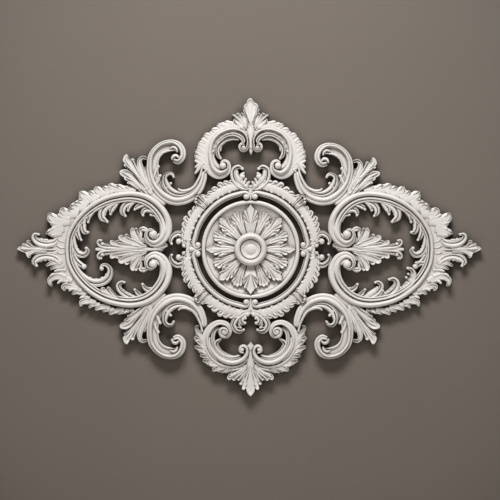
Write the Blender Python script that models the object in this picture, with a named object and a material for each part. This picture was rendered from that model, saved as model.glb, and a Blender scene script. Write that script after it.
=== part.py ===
"""Ceiling rose: one plaster casting, a leafy oval of scrolls round a flower boss.

The back lies flat in the plane y = 0 and the relief faces -Y, as on a wall, +Z up. The casting is
a relief with no undercuts: every scroll, leaf and petal is a patch of surface seen from the front,
and the casting's face is the highest patch over each point of the plan.
"""

import math

import bmesh
import bpy
import numpy as np
from mathutils import Vector
from mathutils.geometry import delaunay_2d_cdt

# Driving dimensions, in millimetres.
LENGTH = 1301.0
HUB_RADIUS = 138.0
MOAT_WIDTH = 13.5
RING_ROLL_WIDTH = 15.0
RING_RADIUS = 196.0
RING_LEAF_REACH = 10.0
LEAF_DEPTH = 17.0
EYE_DEPTH = 43.0
HUB_RING_DEPTH = 40.0

# Curves are drawn on a grid with its origin at the top left. Each point is (across, down), and a
# third number is half the width there, in steps of the grid too.
GRID_LENGTH = 464.6
STEP = LENGTH / GRID_LENGTH
MIDDLE = (250.6, 249.4)
RIGHT_SHARE = 0.988

# The upper right diagonal scroll sits a little lower than its twin: by how much, over which
# stretch of height, and left of which grid line on the drawing.
SLUMP = 9.0
SLUMP_LOW = 200.0
SLUMP_HIGH = 250.0
SLUMP_FROM = 187

# How finely the curves are cut: the longest stretch between two rows, and the largest turn.
ROW_LENGTH = 30.0
ROW_TURN = math.radians(30)

# Corners nearer than this are drawn together; a patch this far below another isn't seen.
NEAR = 1.6
MERGE = 0.01
HIDDEN = 1.0
SLACK = 0.05

# The smallest triangles kept, in square millimetres, and the smallest hole that is cast.
LEAST_AREA = 0.5
FLAT_AREA = 0.01
SMALL_GAP = 60.0

# The disc that fills a corner where two leaves only touch, and the casting's thin edge.
WEB_RADIUS = 2.4
WEB_SIDES = 7
THINNEST = 10.0

# The solid's number of triangles, and how far its relief is pressed while they are chosen.
TRIANGLES = 9900
PRESSED = 0.35
MM = 0.001

PLASTER_COLOUR = (0.72, 0.68, 0.61, 1)
PLASTER_ROUGHNESS = 0.7

# Heights of the relief in millimetres. A pair is the height at a curve's start and at its end.
LONG_SCROLL_RISE = (26, 38.1)
DIAGONAL_SCROLL_RISE = (34, 27.9)
DIAGONAL_BAND_RISE = (27, 27)
DIAGONAL_LEAF_RISE = (27, 31)
DIAGONAL_EYE_TOP = 39
DIAGONAL_KNOB_TOP = 33
AXIS_SCROLL_RISE = (35.7, 35.7)
AXIS_LEAF_RISE = (25, 27)
SPRAY_LEAF_RISE = (21, 24.1)
SPRAY_ROOT_RISE = (24, 24)
CORNER_LEAF_RISE = (20, 20)
WEST_SHEET_RISE = (20, 20)
WEST_HOOK_RISE = (22, 25.3)
WEST_TIP_RISE = (22, 18)
WEST_LOBE_RISE = (17, 19.5)
INNER_HOOK_RISE = (23, 26.4)
AXIS_HOOK_RISE = (24, 27.6)
BORDER_RISE = (21.2, 17)
FINIAL_RISE = (23, 25.3)
KNOT_RISE = (25, 25)
DROP_RISE = (26, 24)
PALMETTE_AXIS_RISE = (26, 22)
PALMETTE_HOOK_RISE = (24, 26)
PALMETTE_LOBE_RISE = (25, 21)
CLASP_RISE = (27, 27)
BEAD_TOP = 30
RING_LEAF_ROOT_TOP = 22

# How a strand's end is rounded: how far on, how wide and how high its last row is.
NOSE = (0.8, 0.45, 0.92)

# A leaf's lobe, as (share of its length, share of its half width); its bow is greatest halfway.
LOBE_ROOT = 0.8
LOBE_SHOULDER = (0.82, 0.8)
LOBE_END = (0.3, 0.45)

# A ball's cap, as (share of its radius, share of its height).
CAP = ((1.0, 0.62), (0.72, 0.9), (0.0, 1.0))
EYE_SIDES = 9
KNOB_SIDES = 8

# Cross-sections, from one edge to the other: place across the half width, share of the height.
LONG_BAND = ((-1, 0.5), (-0.6, 0.95), (-0.1, 1.0), (0.3, 0.76), (0.65, 0.84), (1, 0.5))
PLAIN_ROLL = ((-1, 0.55), (-0.45, 1.0), (0.45, 1.0), (1, 0.55))
TONGUE = ((-1, 0.78), (0, 1.0), (1, 0.78))

# The long scroll of the upper left quarter, from the axis round to its volute.
LONG_SCROLL = (
    (69, 251, 4.2), (70.5, 237, 4.2), (76, 225.5, 4.4), (84, 215.5, 4.6), (94, 207.3, 4.9),
    (106, 201, 5.1), (119, 197.6, 5.3), (132, 196.6, 5.5), (144, 199, 5.8), (154, 205, 6),
    (161.5, 213.5, 6.2), (165.6, 223, 6.3), (165.6, 232, 6), (161.5, 239.8, 5), (155, 243.5, 4.2),
    (149, 241.3, 3.2), (146.6, 236, 2.2), (148.3, 231, 1.6),
)
LONG_SCROLL_EYE = (152.9, 234.4, 4.7)

# The C scroll on the diagonal, its inner band, and the curled leaf that rides in it.
DIAGONAL_SCROLL = (
    (173.8, 160.3, 2.4), (178.4, 161.4, 2.9), (182.6, 157, 3.2), (182.3, 150.5, 3.3),
    (177.8, 145.3, 3), (171, 143.4, 2.8), (163, 145.2, 3.6), (156.5, 150.3, 4.1),
    (152.4, 158.5, 4.4), (151.7, 169, 4.4), (153.2, 180, 4.6), (157.5, 189.5, 4.9),
    (165, 197, 5), (174.5, 200.8, 4.6), (184, 200.2, 4.4), (193, 196, 4.3),
    (199.4, 188.8, 4), (203, 180, 3.6), (204, 170, 3.4),
)
DIAGONAL_EYE = (176, 157.6, 3)
DIAGONAL_BAND = (
    (173, 149.6, 3), (166, 150.3, 3.1), (159.6, 154, 3.2), (156.3, 161, 3.2), (155.6, 171, 3.2),
    (157.5, 181, 3),
)
DIAGONAL_KNOB = (174.5, 149.4, 3.3)
DIAGONAL_LEAF = (
    (173.7, 177, 1.3), (171.8, 174, 1.6), (168, 173.8, 1.9), (164.8, 177.5, 2.4), (165.5, 184, 3.6),
    (169.8, 190.3, 3.7), (176.5, 193.8, 3.3), (184.5, 193.8, 2.9), (191.8, 190.3, 2.5),
    (197.4, 183.5, 2),
)

# The pair of C scrolls above the ring, left half, and the pair below it.
TOP_SCROLL = (
    (224.3, 161.6, 1.4), (228.6, 165.2, 2.6), (227, 171.4, 4), (219.5, 174.7, 4.6), (211.8, 170, 5.3),
    (208.8, 160, 5.5), (208.8, 150, 5.5), (212, 140.5, 5.3), (219, 133.2, 4.9), (228, 129.4, 4.4),
    (237, 129, 4.1), (243.8, 132.8, 3.8), (247.3, 140, 3.3), (247, 146.5, 2.9), (244.3, 150.6, 2),
)
TOP_EYES = ((223, 166, 3.9), (243.3, 147, 4.1))
TOP_LEAF = ((243, 140, 1.6), (234, 136, 2.1), (223, 138.3, 2.5), (216.3, 146, 2.7), (217, 154, 2.3),
            (221.2, 159.3, 1.3))
BOTTOM_SCROLL = (
    (222, 336.6, 1.3), (227.7, 336, 1.8), (230, 330.6, 2), (227, 324.6, 2.9), (219.5, 322.9, 3.3),
    (212.3, 326.5, 4.4), (208.3, 334, 5.1), (208, 343.5, 5.2), (211.8, 352.6, 5.2), (219.5, 359, 4.8),
    (228.5, 361.8, 4.4), (237, 361.6, 4.1), (243.6, 358.5, 3.7), (247, 352.5, 3), (245, 346.6, 1.8),
)
BOTTOM_EYES = ((224.6, 332, 4.5), (243, 350, 4.4))
BOTTOM_LEAF = ((241, 357, 1.6), (232, 357.5, 2.1), (221, 352.6, 2.6), (216, 344, 2.5),
               (220.6, 338.8, 1.3))

# Leaf tips: a tongue of leaf starts on its scroll, trailing behind, and ends at the tip.
UPPER_BORDER = (
    (45.5, 232.8), (48.7, 221.2), (48.6, 216), (50, 212.8), (58, 214), (61.6, 208.6), (70.3, 204.3),
    (77, 199.6), (79.8, 193.2), (89.5, 190.6), (95.8, 187.6), (103, 186.4), (109.3, 183.6),
    (116.2, 184.6), (125, 187.2),
)
LOWER_BORDER = (
    (46.5, 264.8), (50.5, 269), (48.4, 280), (51.2, 285.4), (57.7, 284.2), (62.2, 287.4),
    (70.6, 291.8), (72, 294.4), (79.5, 304.4), (88, 307), (94.8, 308.6), (103, 312),
    (109.2, 315), (117, 314.6), (124.5, 312.6),
)
TOP_BORDER = (
    (194.8, 172.6), (194, 161.6), (194.6, 155.6), (194.6, 150), (200.2, 140.6), (203.4, 135.6),
    (210.2, 131), (215.3, 125.8), (219, 122.6), (226, 121.6),
)
BOTTOM_BORDER = (
    (195.2, 326.4), (193.8, 336), (194.6, 346.4), (200.4, 353), (202.6, 359.4), (207.4, 363.4),
    (212.4, 368.4), (222, 372.4),
)

# Hooked leaves, each a strand that narrows to its curled tip.
WEST_HOOKS = (
    ((58.4, 238, 1.6), (54.4, 242.2, 3.4), (47, 244, 4.3), (39.4, 242.6, 4.3), (34.6, 238.6, 3.4),
     (35, 235, 2.4), (38.6, 234.4, 1.1)),
)
WEST_HOOKS_BELOW = (
    ((61, 263, 3), (54.6, 258, 3.8), (46.4, 256.2, 4.1), (38.8, 257.8, 4.3), (34.6, 261.8, 3.1),
     (36.8, 265.8, 1.2)),
)
WEST_SHEET = ((84, 205, 4), (71, 219, 6), (63.5, 234, 8), (62, 250, 9), (64, 266, 8), (72, 281, 6),
              (84, 293, 4))
WEST_TIP = ((66, 249.6, 9), (55, 249.6, 7.5), (42, 249.6, 4.4), (31, 249.4, 4.6), (23, 249, 4),
            (17.8, 248.9, 1))
WEST_TIP_LOBES = (
    ((40, 247.6, 2), (31.5, 245, 2.8), (27.3, 241.6, 1.2)),
    ((38, 251.6, 2), (31.5, 253.6, 2.8), (28, 257.2, 1.2)),
)
INNER_HOOKS = (
    ((119, 200.6, 3), (108.5, 205, 4.2), (102.6, 211.4, 4), (102.3, 217.6, 3.4), (107.4, 221.8, 1.2)),
    ((117, 203, 2.6), (112, 208.5, 3), (110.6, 214.3, 1)),
    ((137, 200.4, 2.4), (128, 203.3, 3.3), (123.2, 208.2, 3.2), (122.8, 213, 2.6), (125.6, 216, 1.1)),
    ((134, 201.4, 2.4), (129.6, 205.6, 2.6), (128.2, 210.6, 1)),
    ((148, 203, 2.4), (140.4, 205.4, 2.8), (136.2, 207.8, 2.2), (134.8, 209.6, 1)),
    ((158.6, 214.5, 3), (151.4, 209.9, 3.1), (145.2, 209.9, 2.9), (142.9, 213, 2.2),
     (143.1, 215.3, 1.1)),
    ((159.6, 221, 2.2), (155.4, 215.4, 2), (150.8, 215, 1)),
    ((108, 203.4, 1.8), (96.4, 208.6, 2.2), (90, 215.4, 2.1), (88.3, 222.2, 1)),
    ((88, 212, 2.4), (83.6, 219, 2.8), (82.8, 226.2, 3), (84.6, 231.8, 2.6), (88, 232.4, 1.2)),
    ((79.4, 220, 2), (77.2, 230, 2.8), (79, 237, 2.2), (81.4, 240, 1)),
    ((72.8, 236, 2.6), (74, 246.6, 3.2), (78, 253.4, 3.3), (84, 254.8, 2.9), (87.6, 251.4, 2.3),
     (86.4, 248.2, 1.3)),
)
INNER_HOOKS_BELOW = (
    ((73, 255, 2.4), (77.4, 261.6, 2.8), (84, 266.6, 2.2)),
    ((141, 300, 2.8), (129, 296.6, 3.4), (121, 291.4, 3.2), (118.4, 285.6, 2.6), (121.4, 282.3, 1.8),
     (124.4, 282.4, 1)),
    ((146, 299, 2.4), (139, 294.6, 2.6), (134.8, 289.6, 1)),
    ((159, 289, 2.6), (152, 291, 3), (145.6, 288.6, 2.4), (142.6, 284.2, 1.1)),
)
LEFT_HOOKS_BELOW = (
    ((73, 262, 3), (80.4, 274.6, 3.6), (90.6, 282, 4), (101, 282.4, 4.1), (108.6, 277.4, 4),
     (110.4, 270.6, 3.2), (106.6, 265.8, 2.8), (102.4, 267.4, 2.4)),
    ((111, 298, 3), (104.6, 293, 3.6), (102.2, 287.8, 1.6)),
    ((116, 299, 3), (110.4, 293, 3), (109.6, 287.8, 1.4)),
)
RIGHT_HOOKS_BELOW = (
    ((75, 264, 2.6), (79.4, 263, 2.4), (83, 262.8, 1.2)),
    ((82, 281, 3), (83, 273.6, 3.2), (87.4, 268.4, 2.8), (92, 268, 1.4)),
    ((92, 290, 3), (92.6, 282.6, 2.6), (92.4, 277.4, 1.2)),
    ((107, 299, 3), (102.6, 291, 3.8), (102.8, 282.6, 3.4), (107, 278.4, 2.4), (111.6, 279.2, 1.2)),
)
SPRAY_LEAVES = (
    ((153, 197, 2.4), (140.6, 178, 4.8), (131.6, 167, 5.4), (127, 161, 4), (126.4, 156, 1.8)),
    ((150, 190, 2.4), (140, 171, 3.2), (135.4, 163.6, 2.8), (133.2, 159, 1.3)),
    ((153, 192, 2.4), (145.6, 177, 4.4), (139.8, 166.4, 3.4), (139.8, 160, 2.2), (143, 157.4, 1.7),
     (147.6, 159.6, 2)),
    ((152, 197, 2.4), (138.6, 182.6, 4.2), (129, 175.6, 4), (122.4, 172.8, 2.8), (120.2, 172.4, 1.4)),
    ((151, 197, 2.4), (140, 187, 3), (132.6, 183.8, 2.6), (128, 182.6, 1.2)),
)
NORTH_HOOKS = (
    ((248, 189, 2), (240.6, 186.4, 3.2), (234.8, 180.6, 3.3), (232.9, 174, 2.8), (234.2, 168.8, 2.2),
     (238.6, 166.4, 1.8), (242.6, 168.6, 1.1)),
    ((250.4, 188.6, 2.2), (246.4, 185.6, 3), (243.6, 180.8, 2.8), (242.1, 176, 2.6), (241.8, 174.6, 2.5)),
)
SOUTH_HOOKS = (
    ((247, 311, 3), (237.4, 317, 3.2), (233.6, 323.6, 3.2), (236.8, 329.4, 2.6), (241.6, 330.6, 2),
     (244, 329, 1)),
    ((249, 310, 3), (243, 315, 2.6), (240.8, 320, 2.4), (243, 322.6, 1.8), (245.6, 323, 1)),
)
SIDE_HOOKS = (
    ((190, 242, 3), (184.6, 235.6, 3.2), (178, 233.6, 2.9), (172.6, 236.8, 2.7), (170.8, 241, 2),
     (171.8, 243.8, 1)),
    ((191, 246, 3), (185.4, 241, 3), (180, 240.6, 2.7), (177.6, 243.4, 1.8), (178.6, 245.6, 1)),
)

# A leaf that ties the ring to each diagonal scroll, and the root of each corner spray.
CORNER_LEAF = ((191, 191, 4), (195, 195.3, 5), (200, 200.5, 6))
SPRAY_ROOT = ((145, 189, 3), (154.5, 196.6, 4.5), (163, 203, 3))

# Tips of the palmette that points outwards from between the volutes, above its axis.
PALMETTE_TIPS = ((111.4, 240.6), (118.8, 236.2), (125.2, 234), (131.2, 228), (137, 228.8),
                 (142, 227), (147, 230.4))
PALMETTE_HOOK = ((140, 247.6, 2.4), (120, 246.6, 2.8), (106, 246, 2.8), (99.6, 243.4, 2.4),
                 (101.2, 240.4, 1.3))
PALMETTE_BASE = (154, 249.4)
PALMETTE_TIP = (95, 249.2)
PALMETTE_AXIS_HALF = 5
PALMETTE_LOBE_HALF = 3.4
PALMETTE_LOBE_ROOT = (2, 1.5)
PALMETTE_BEND = -0.1

# The small saddle that joins the two volutes on the long axis.
CLASP = ((152, 249.4, 4), (156, 249.4, 6), (159, 249.4, 5))

# Border leaves: their greatest half width, and how far each trails behind its tip. A short leaf is
# narrower: its half width as a share of the greatest, and as a share of its length.
LONG_BORDER = (3.2, 0.6)
AXIS_BORDER = (4.2, 0.5)
NARROWEST = 0.6
SLENDER = 0.3

# Finials on the upright axis: tongues from a base to a tip, with the half width between.
TOP_FINIAL = (((250.6, 130), (250, 98.6), 6.6), ((248, 128), (243.6, 104.6), 4),
              ((246, 128), (242, 109), 4), ((245, 128), (232.4, 114.2), 4.6),
              ((240, 127), (229.4, 119.6), 3))
BOTTOM_FINIAL = (((250.6, 362), (250.4, 395.8), 6.6), ((248, 364), (243.6, 389.4), 4),
                 ((246, 364), (239.6, 383), 4), ((244, 364), (228.4, 377.6), 4.6))
TOP_KNOT = ((250.9, 119, 2), (250.7, 127.5, 4), (250.4, 138.3, 2.6))
BOTTOM_KNOT = ((250.3, 374.2, 2), (250.5, 364.3, 4), (250.8, 353.4, 2.6))
TOP_DROP = ((250.6, 138, 2), (250.8, 147, 2.4), (251, 154.2, 0.8))
BOTTOM_DROP = ((250.6, 360, 2), (250.6, 350.6, 2.6), (250.5, 343, 0.8))

# The boss, as (radius, height) in shares of the hub's radius and of its highest ring.
BOSS_PROFILE = ((0, 0.9), (0.09, 0.86), (0.14, 0.6), (0.2, 0.82), (0.27, 1.0), (0.34, 0.74),
                (0.4, 0.42), (0.62, 0.3), (0.89, 0.34), (0.965, 0.62), (1.0, 0.4))
PETAL_COUNT = 16
PETAL_REACH = (0.89, 0.79, 0.855, 0.79)
PETAL_HALF_ANGLE = math.radians(12.5)
PETAL_ROWS = ((0.34, 0.5, 0.6), (0.62, 1.0, 0.56), (0.86, 0.72, 0.66), (1, 0.1, 0.6))
HUB_SIDES = 40

# The ring: its roll as (share of the width, height), its leaf tips, the gap they leave round each
# axis, and the small balls that end the roll.
RING_ROLL = ((0, 18), (0.3, 27), (0.7, 27), (1, 19))
RING_SIDES = 64
RING_LOBES = 68
RING_LAP = 2
AXIS_GAP = math.radians(5)
AXIS_REACH = 178.0
BEAD_RADIUS = 3.2
BEAD_PLACE = (4.4, 52)


def on_grid(point, side=-1, level=1):
    """Plan position in millimetres; side 1 mirrors left to right, level -1 top to bottom."""
    across = (point[0] - MIDDLE[0]) * STEP
    up = (MIDDLE[1] - point[1]) * STEP
    if side > 0 and level > 0 and point[0] < SLUMP_FROM:
        up -= SLUMP * min(1, max(0, (up - SLUMP_LOW) / (SLUMP_HIGH - SLUMP_LOW)))
    return (-across * RIGHT_SHARE if side > 0 else across), up * level


def smooth_path(points):
    """A curve through the points, as rows of numbers, cut finer where it turns."""
    rows = [np.array(p, float) for p in points]
    rows = [2 * rows[0] - rows[1]] + rows + [2 * rows[-1] - rows[-2]]
    path = [rows[1]]
    for a, b, c, d in zip(rows, rows[1:], rows[2:], rows[3:]):
        before, after = (c - a)[:2], (d - b)[:2]
        turn = abs(math.atan2(before[0] * after[1] - before[1] * after[0], before @ after))
        length = np.linalg.norm((c - b)[:2]) * STEP
        cuts = max(1, math.ceil(length / ROW_LENGTH), math.ceil(turn / ROW_TURN))
        for k in range(1, cuts + 1):
            t = k / cuts
            path.append(0.5 * (2 * b + (c - a) * t + (2 * a - 5 * b + 4 * c - d) * t * t
                               + (3 * b - a - 3 * c + d) * t ** 3))
    return path


def grid_faces(rows, closed=False):
    """Triangles of a grid of points given row by row."""
    faces = []
    pairs = list(zip(rows, rows[1:]))
    if closed:
        pairs.append((rows[-1], rows[0]))
    for near, far in pairs:
        for a, b, c, d in zip(near, near[1:], far[1:], far):
            faces.append((a, b, c))
            faces.append((a, c, d))
    return faces


def strand(points, rise, section=TONGUE, side=-1, level=1):
    """A band that follows a curve, with a cross-section and its height at each end."""
    path = smooth_path(points)
    headings = [path[min(i + 1, len(path) - 1)] - path[max(i - 1, 0)] for i in range(len(path))]
    rows = []
    for i, (here, heading) in enumerate(zip(path, headings)):
        ahead = heading[:2] / np.linalg.norm(heading[:2])
        rows.append((here[:2], ahead, here[2], rise[0] + (rise[1] - rise[0]) * i / (len(path) - 1)))
    here, ahead, half, top = rows[-1]
    onward, narrower, lower = NOSE
    rows.append((here + ahead * half * onward, ahead, half * narrower, top * lower))
    grid = []
    for here, ahead, half, top in rows:
        out = np.array((ahead[1], -ahead[0]))
        line = []
        for place, share in section:
            line.append((*on_grid(here - out * place * half, side, level), top * share))
        grid.append(line)
    return grid_faces(grid)


def strands(shapes, rise, side=-1, level=1):
    """Several leaves of the same height."""
    faces = []
    for points in shapes:
        faces += strand(points, rise, TONGUE, side, level)
    return faces


def boss(centre, radius, top, side=-1, level=1, sides=EYE_SIDES):
    """A ball's cap standing on the relief, such as the eye of a volute."""
    x, z = on_grid(centre, side, level)
    rows = []
    for share, height in CAP:
        ring = []
        for k in range(sides + 1):
            angle = math.tau * k / sides
            reach = radius * STEP * share
            ring.append((x + reach * math.cos(angle), z + reach * math.sin(angle), top * height))
        rows.append(ring)
    return grid_faces(rows)


def turned(profile, sides):
    """A surface of revolution round the middle; the profile is (radius, height) outwards."""
    rows = []
    for k in range(sides):
        angle = math.tau * k / sides
        rows.append([(r * math.sin(angle), r * math.cos(angle), h) for r, h in profile])
    return grid_faces(rows, closed=True)


def tongue(base, tip, half, rise, side=-1, level=1, bend=0.0):
    """A leaf's lobe from its base to its tip; bend bows it sideways by a share of its length."""
    base, tip = np.array(base, float), np.array(tip, float)
    along = tip - base
    bow = np.array((along[1], -along[0])) * bend
    shoulder, shoulder_half = LOBE_SHOULDER
    short, end_half = LOBE_END
    end = tip - along / np.linalg.norm(along) * half * short
    points = ((*base, half * LOBE_ROOT), (*(base + along / 2 + bow), half),
              (*(base + along * shoulder + bow / 2), half * shoulder_half), (*end, half * end_half))
    return strand(points, rise, side=side, level=level)


def border(scroll, tips, sizes, side, flip=False):
    """Tongues of leaf along a scroll: each starts further along its curve than its tip."""
    half, lag = sizes
    path = smooth_path(scroll)
    if flip:
        path = [np.array((p[0], 2 * MIDDLE[1] - p[1], *p[2:])) for p in path]
    reach = [0.0]
    for a, b in zip(path, path[1:]):
        reach.append(reach[-1] + np.linalg.norm((b - a)[:2]))
    faces = []
    for tip in tips:
        gaps = [np.linalg.norm(p[:2] - np.array(tip)) for p in path]
        nearest = int(np.argmin(gaps))
        goal = reach[nearest] + lag * gaps[nearest]
        start = next((i for i, r in enumerate(reach) if r >= goal), len(path) - 1)
        wide = min(half, max(half * NARROWEST, SLENDER * gaps[nearest]))
        faces += tongue(path[start][:2], tip, wide, BORDER_RISE, side)
    return faces


def hub():
    """The flower boss: turned rings, and two ranks of petals lying in the dish between them."""
    profile = [(r * HUB_RADIUS, h * HUB_RING_DEPTH) for r, h in BOSS_PROFILE]
    faces = turned(profile, HUB_SIDES)
    for k in range(PETAL_COUNT):
        angle = math.tau * k / PETAL_COUNT
        reach = HUB_RADIUS * PETAL_REACH[k % len(PETAL_REACH)]
        rows = []
        for share, wide, top in PETAL_ROWS:
            line = []
            for place, height in TONGUE:
                turn = angle + place * wide * PETAL_HALF_ANGLE
                r = reach * share
                line.append((r * math.sin(turn), r * math.cos(turn), HUB_RING_DEPTH * top * height))
            rows.append(line)
        faces += grid_faces(rows)
    return faces


def ring():
    """The ring round the hub: a roll, and a border of small leaves, shorter at the four axes."""
    inner = HUB_RADIUS + MOAT_WIDTH
    outer = inner + RING_ROLL_WIDTH
    faces = turned([(inner + share * RING_ROLL_WIDTH, top) for share, top in RING_ROLL], RING_SIDES)
    rows = []
    for k in range(2 * RING_LOBES):
        angle = math.tau * k / (2 * RING_LOBES)
        off_axis = abs((angle + math.pi / 4) % (math.pi / 2) - math.pi / 4)
        reach = RING_RADIUS + (RING_LEAF_REACH if k % 2 else 0)
        if off_axis < AXIS_GAP:
            reach = AXIS_REACH
        line = [(outer - RING_LAP, RING_LEAF_ROOT_TOP), (reach, LEAF_DEPTH)]
        rows.append([(r * math.sin(angle), r * math.cos(angle), h) for r, h in line])
    faces += grid_faces(rows, closed=True)
    return faces


def ring_beads():
    """Pairs of small balls that end the ring's four rolls and bridge the moat to the hub."""
    beside, out = BEAD_PLACE
    faces = []
    for sign in (-1, 1):
        for end in (-1, 1):
            for across, down in ((sign * beside, end * out), (end * out, sign * beside)):
                place = (MIDDLE[0] + across, MIDDLE[1] + down)
                faces += boss(place, BEAD_RADIUS, BEAD_TOP, sides=KNOB_SIDES)
    return faces


def long_scroll(side, level):
    """One of the four long scrolls, with its volute's eye."""
    faces = strand(LONG_SCROLL, LONG_SCROLL_RISE, LONG_BAND, side, level)
    faces += boss(LONG_SCROLL_EYE[:2], LONG_SCROLL_EYE[2], EYE_DEPTH, side, level)
    return faces


def diagonal_scroll(side, level):
    """One of the four C scrolls on the diagonals, with its inner band, leaf and eye."""
    faces = strand(DIAGONAL_SCROLL, DIAGONAL_SCROLL_RISE, PLAIN_ROLL, side, level)
    faces += strand(DIAGONAL_BAND, DIAGONAL_BAND_RISE, TONGUE, side, level)
    faces += strand(DIAGONAL_LEAF[::-1], DIAGONAL_LEAF_RISE, TONGUE, side, level)
    faces += boss(DIAGONAL_EYE[:2], DIAGONAL_EYE[2], DIAGONAL_EYE_TOP, side, level, KNOB_SIDES)
    faces += boss(DIAGONAL_KNOB[:2], DIAGONAL_KNOB[2], DIAGONAL_KNOB_TOP, side, level, KNOB_SIDES)
    return faces


def axis_scrolls(scroll, leaf, eyes, side):
    """One half of the pair of C scrolls above or below the ring."""
    faces = strand(scroll, AXIS_SCROLL_RISE, LONG_BAND, side)
    faces += strand(leaf, AXIS_LEAF_RISE, TONGUE, side)
    for across, down, radius in eyes:
        faces += boss((across, down), radius, EYE_DEPTH, side)
    return faces


def finial(shapes):
    """Tongues on the upright axis; the first is the middle one, the rest stand in pairs."""
    faces = []
    for i, (base, tip, half) in enumerate(shapes):
        for side in (-1, 1) if i else (-1,):
            faces += tongue(base, tip, half, FINIAL_RISE, side)
    return faces


def palmette(side):
    """The fan of lobes that points outwards from between two volutes."""
    faces = tongue(PALMETTE_BASE, PALMETTE_TIP, PALMETTE_AXIS_HALF, PALMETTE_AXIS_RISE, side)
    base = np.array(PALMETTE_BASE) - PALMETTE_LOBE_ROOT
    for level in (-1, 1):
        faces += strand(PALMETTE_HOOK, PALMETTE_HOOK_RISE, TONGUE, side, level)
        for tip in PALMETTE_TIPS:
            spread = (MIDDLE[1] - tip[1]) / (PALMETTE_BASE[0] - tip[0])
            bend = PALMETTE_BEND * min(1, spread)
            faces += tongue(base, tip, PALMETTE_LOBE_HALF, PALMETTE_LOBE_RISE, side, level, bend)
    return faces


def quarter(side, level):
    """The patches that all four quarters have."""
    faces = long_scroll(side, level) + diagonal_scroll(side, level)
    faces += strands(SPRAY_LEAVES, SPRAY_LEAF_RISE, side, level)
    faces += strands(SIDE_HOOKS, INNER_HOOK_RISE, side, level)
    faces += strand(CORNER_LEAF, CORNER_LEAF_RISE, TONGUE, side, level)
    faces += strand(SPRAY_ROOT, SPRAY_ROOT_RISE, TONGUE, side, level)
    return faces


def half_rose(side):
    """The patches of the left or right half that differ above and below."""
    faces = border(LONG_SCROLL, UPPER_BORDER, LONG_BORDER, side)
    faces += border(LONG_SCROLL, LOWER_BORDER, LONG_BORDER, side, flip=True)
    faces += strands(WEST_HOOKS + WEST_HOOKS_BELOW, WEST_HOOK_RISE, side)
    faces += strands(INNER_HOOKS + INNER_HOOKS_BELOW, INNER_HOOK_RISE, side)
    faces += strands(LEFT_HOOKS_BELOW if side < 0 else RIGHT_HOOKS_BELOW, INNER_HOOK_RISE, side)
    faces += strand(WEST_SHEET, WEST_SHEET_RISE, TONGUE, side)
    faces += strand(WEST_TIP, WEST_TIP_RISE, TONGUE, side)
    faces += strands(WEST_TIP_LOBES, WEST_LOBE_RISE, side)
    faces += axis_scrolls(TOP_SCROLL, TOP_LEAF, TOP_EYES, side)
    faces += axis_scrolls(BOTTOM_SCROLL, BOTTOM_LEAF, BOTTOM_EYES, side)
    faces += border(TOP_SCROLL, TOP_BORDER, AXIS_BORDER, side)
    faces += border(BOTTOM_SCROLL, BOTTOM_BORDER, AXIS_BORDER, side)
    faces += strands(NORTH_HOOKS + SOUTH_HOOKS, AXIS_HOOK_RISE, side)
    faces += palmette(side) + strand(CLASP, CLASP_RISE, TONGUE, side)
    return faces


def all_patches():
    """Every patch of the casting's face."""
    faces = hub() + ring() + ring_beads()
    for side in (-1, 1):
        for level in (-1, 1):
            faces += quarter(side, level)
        faces += half_rose(side)
    faces += finial(TOP_FINIAL) + finial(BOTTOM_FINIAL)
    faces += strand(TOP_DROP, DROP_RISE) + strand(BOTTOM_DROP, DROP_RISE)
    faces += strand(TOP_KNOT, KNOT_RISE) + strand(BOTTOM_KNOT, KNOT_RISE)
    return np.array(faces)


def plan_area(a, b, c):
    """Twice the signed area of a triangle in plan."""
    return (b[0] - a[0]) * (c[1] - a[1]) - (b[1] - a[1]) * (c[0] - a[0])


def highest(points, faces):
    """Height of the highest patch over each point, 0 where there is none."""
    order = np.argsort(points[:, 0], kind="stable")
    across, up = points[order, 0], points[order, 1]
    heights = np.zeros(len(points))
    for face in faces:
        low, high = face.min(axis=0)[:2] - SLACK, face.max(axis=0)[:2] + SLACK
        first, last = np.searchsorted(across, (low[0], high[0]))
        over = first + np.flatnonzero((up[first:last] >= low[1]) & (up[first:last] <= high[1]))
        area = plan_area(*face)
        inside = np.ones(len(over), bool)
        height = np.zeros(len(over))
        for k in range(3):
            b, c = face[(k + 1) % 3], face[(k + 2) % 3]
            share = ((c[0] - b[0]) * (up[over] - b[1]) - (c[1] - b[1]) * (across[over] - b[0])) / area
            edge = math.hypot(c[0] - b[0], c[1] - b[1])
            inside &= share >= -SLACK * edge / abs(area)
            height += share * face[k][2]
        spots = over[inside]
        heights[spots] = np.maximum(heights[spots], height[inside])
    by_point = np.zeros(len(points))
    by_point[order] = heights
    return by_point


def welded(faces):
    """Corners of the patches with near ones drawn together, and the faces as corner numbers."""
    corners = faces.reshape(-1, 3)
    order = np.argsort(-corners[:, 2], kind="stable")
    cells = {}
    kept = []
    number = np.zeros(len(corners), int)
    for i in order:
        x, z = corners[i, :2]
        cell = (math.floor(x / NEAR), math.floor(z / NEAR))
        found = None
        for dx in (-1, 0, 1):
            for dz in (-1, 0, 1):
                for j in cells.get((cell[0] + dx, cell[1] + dz), ()):
                    if found is None and math.hypot(kept[j][0] - x, kept[j][1] - z) < NEAR:
                        found = j
        if found is None:
            found = len(kept)
            kept.append((x, z))
            cells.setdefault(cell, []).append(found)
        number[i] = found
    return np.array(kept), number.reshape(-1, 3)


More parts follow.
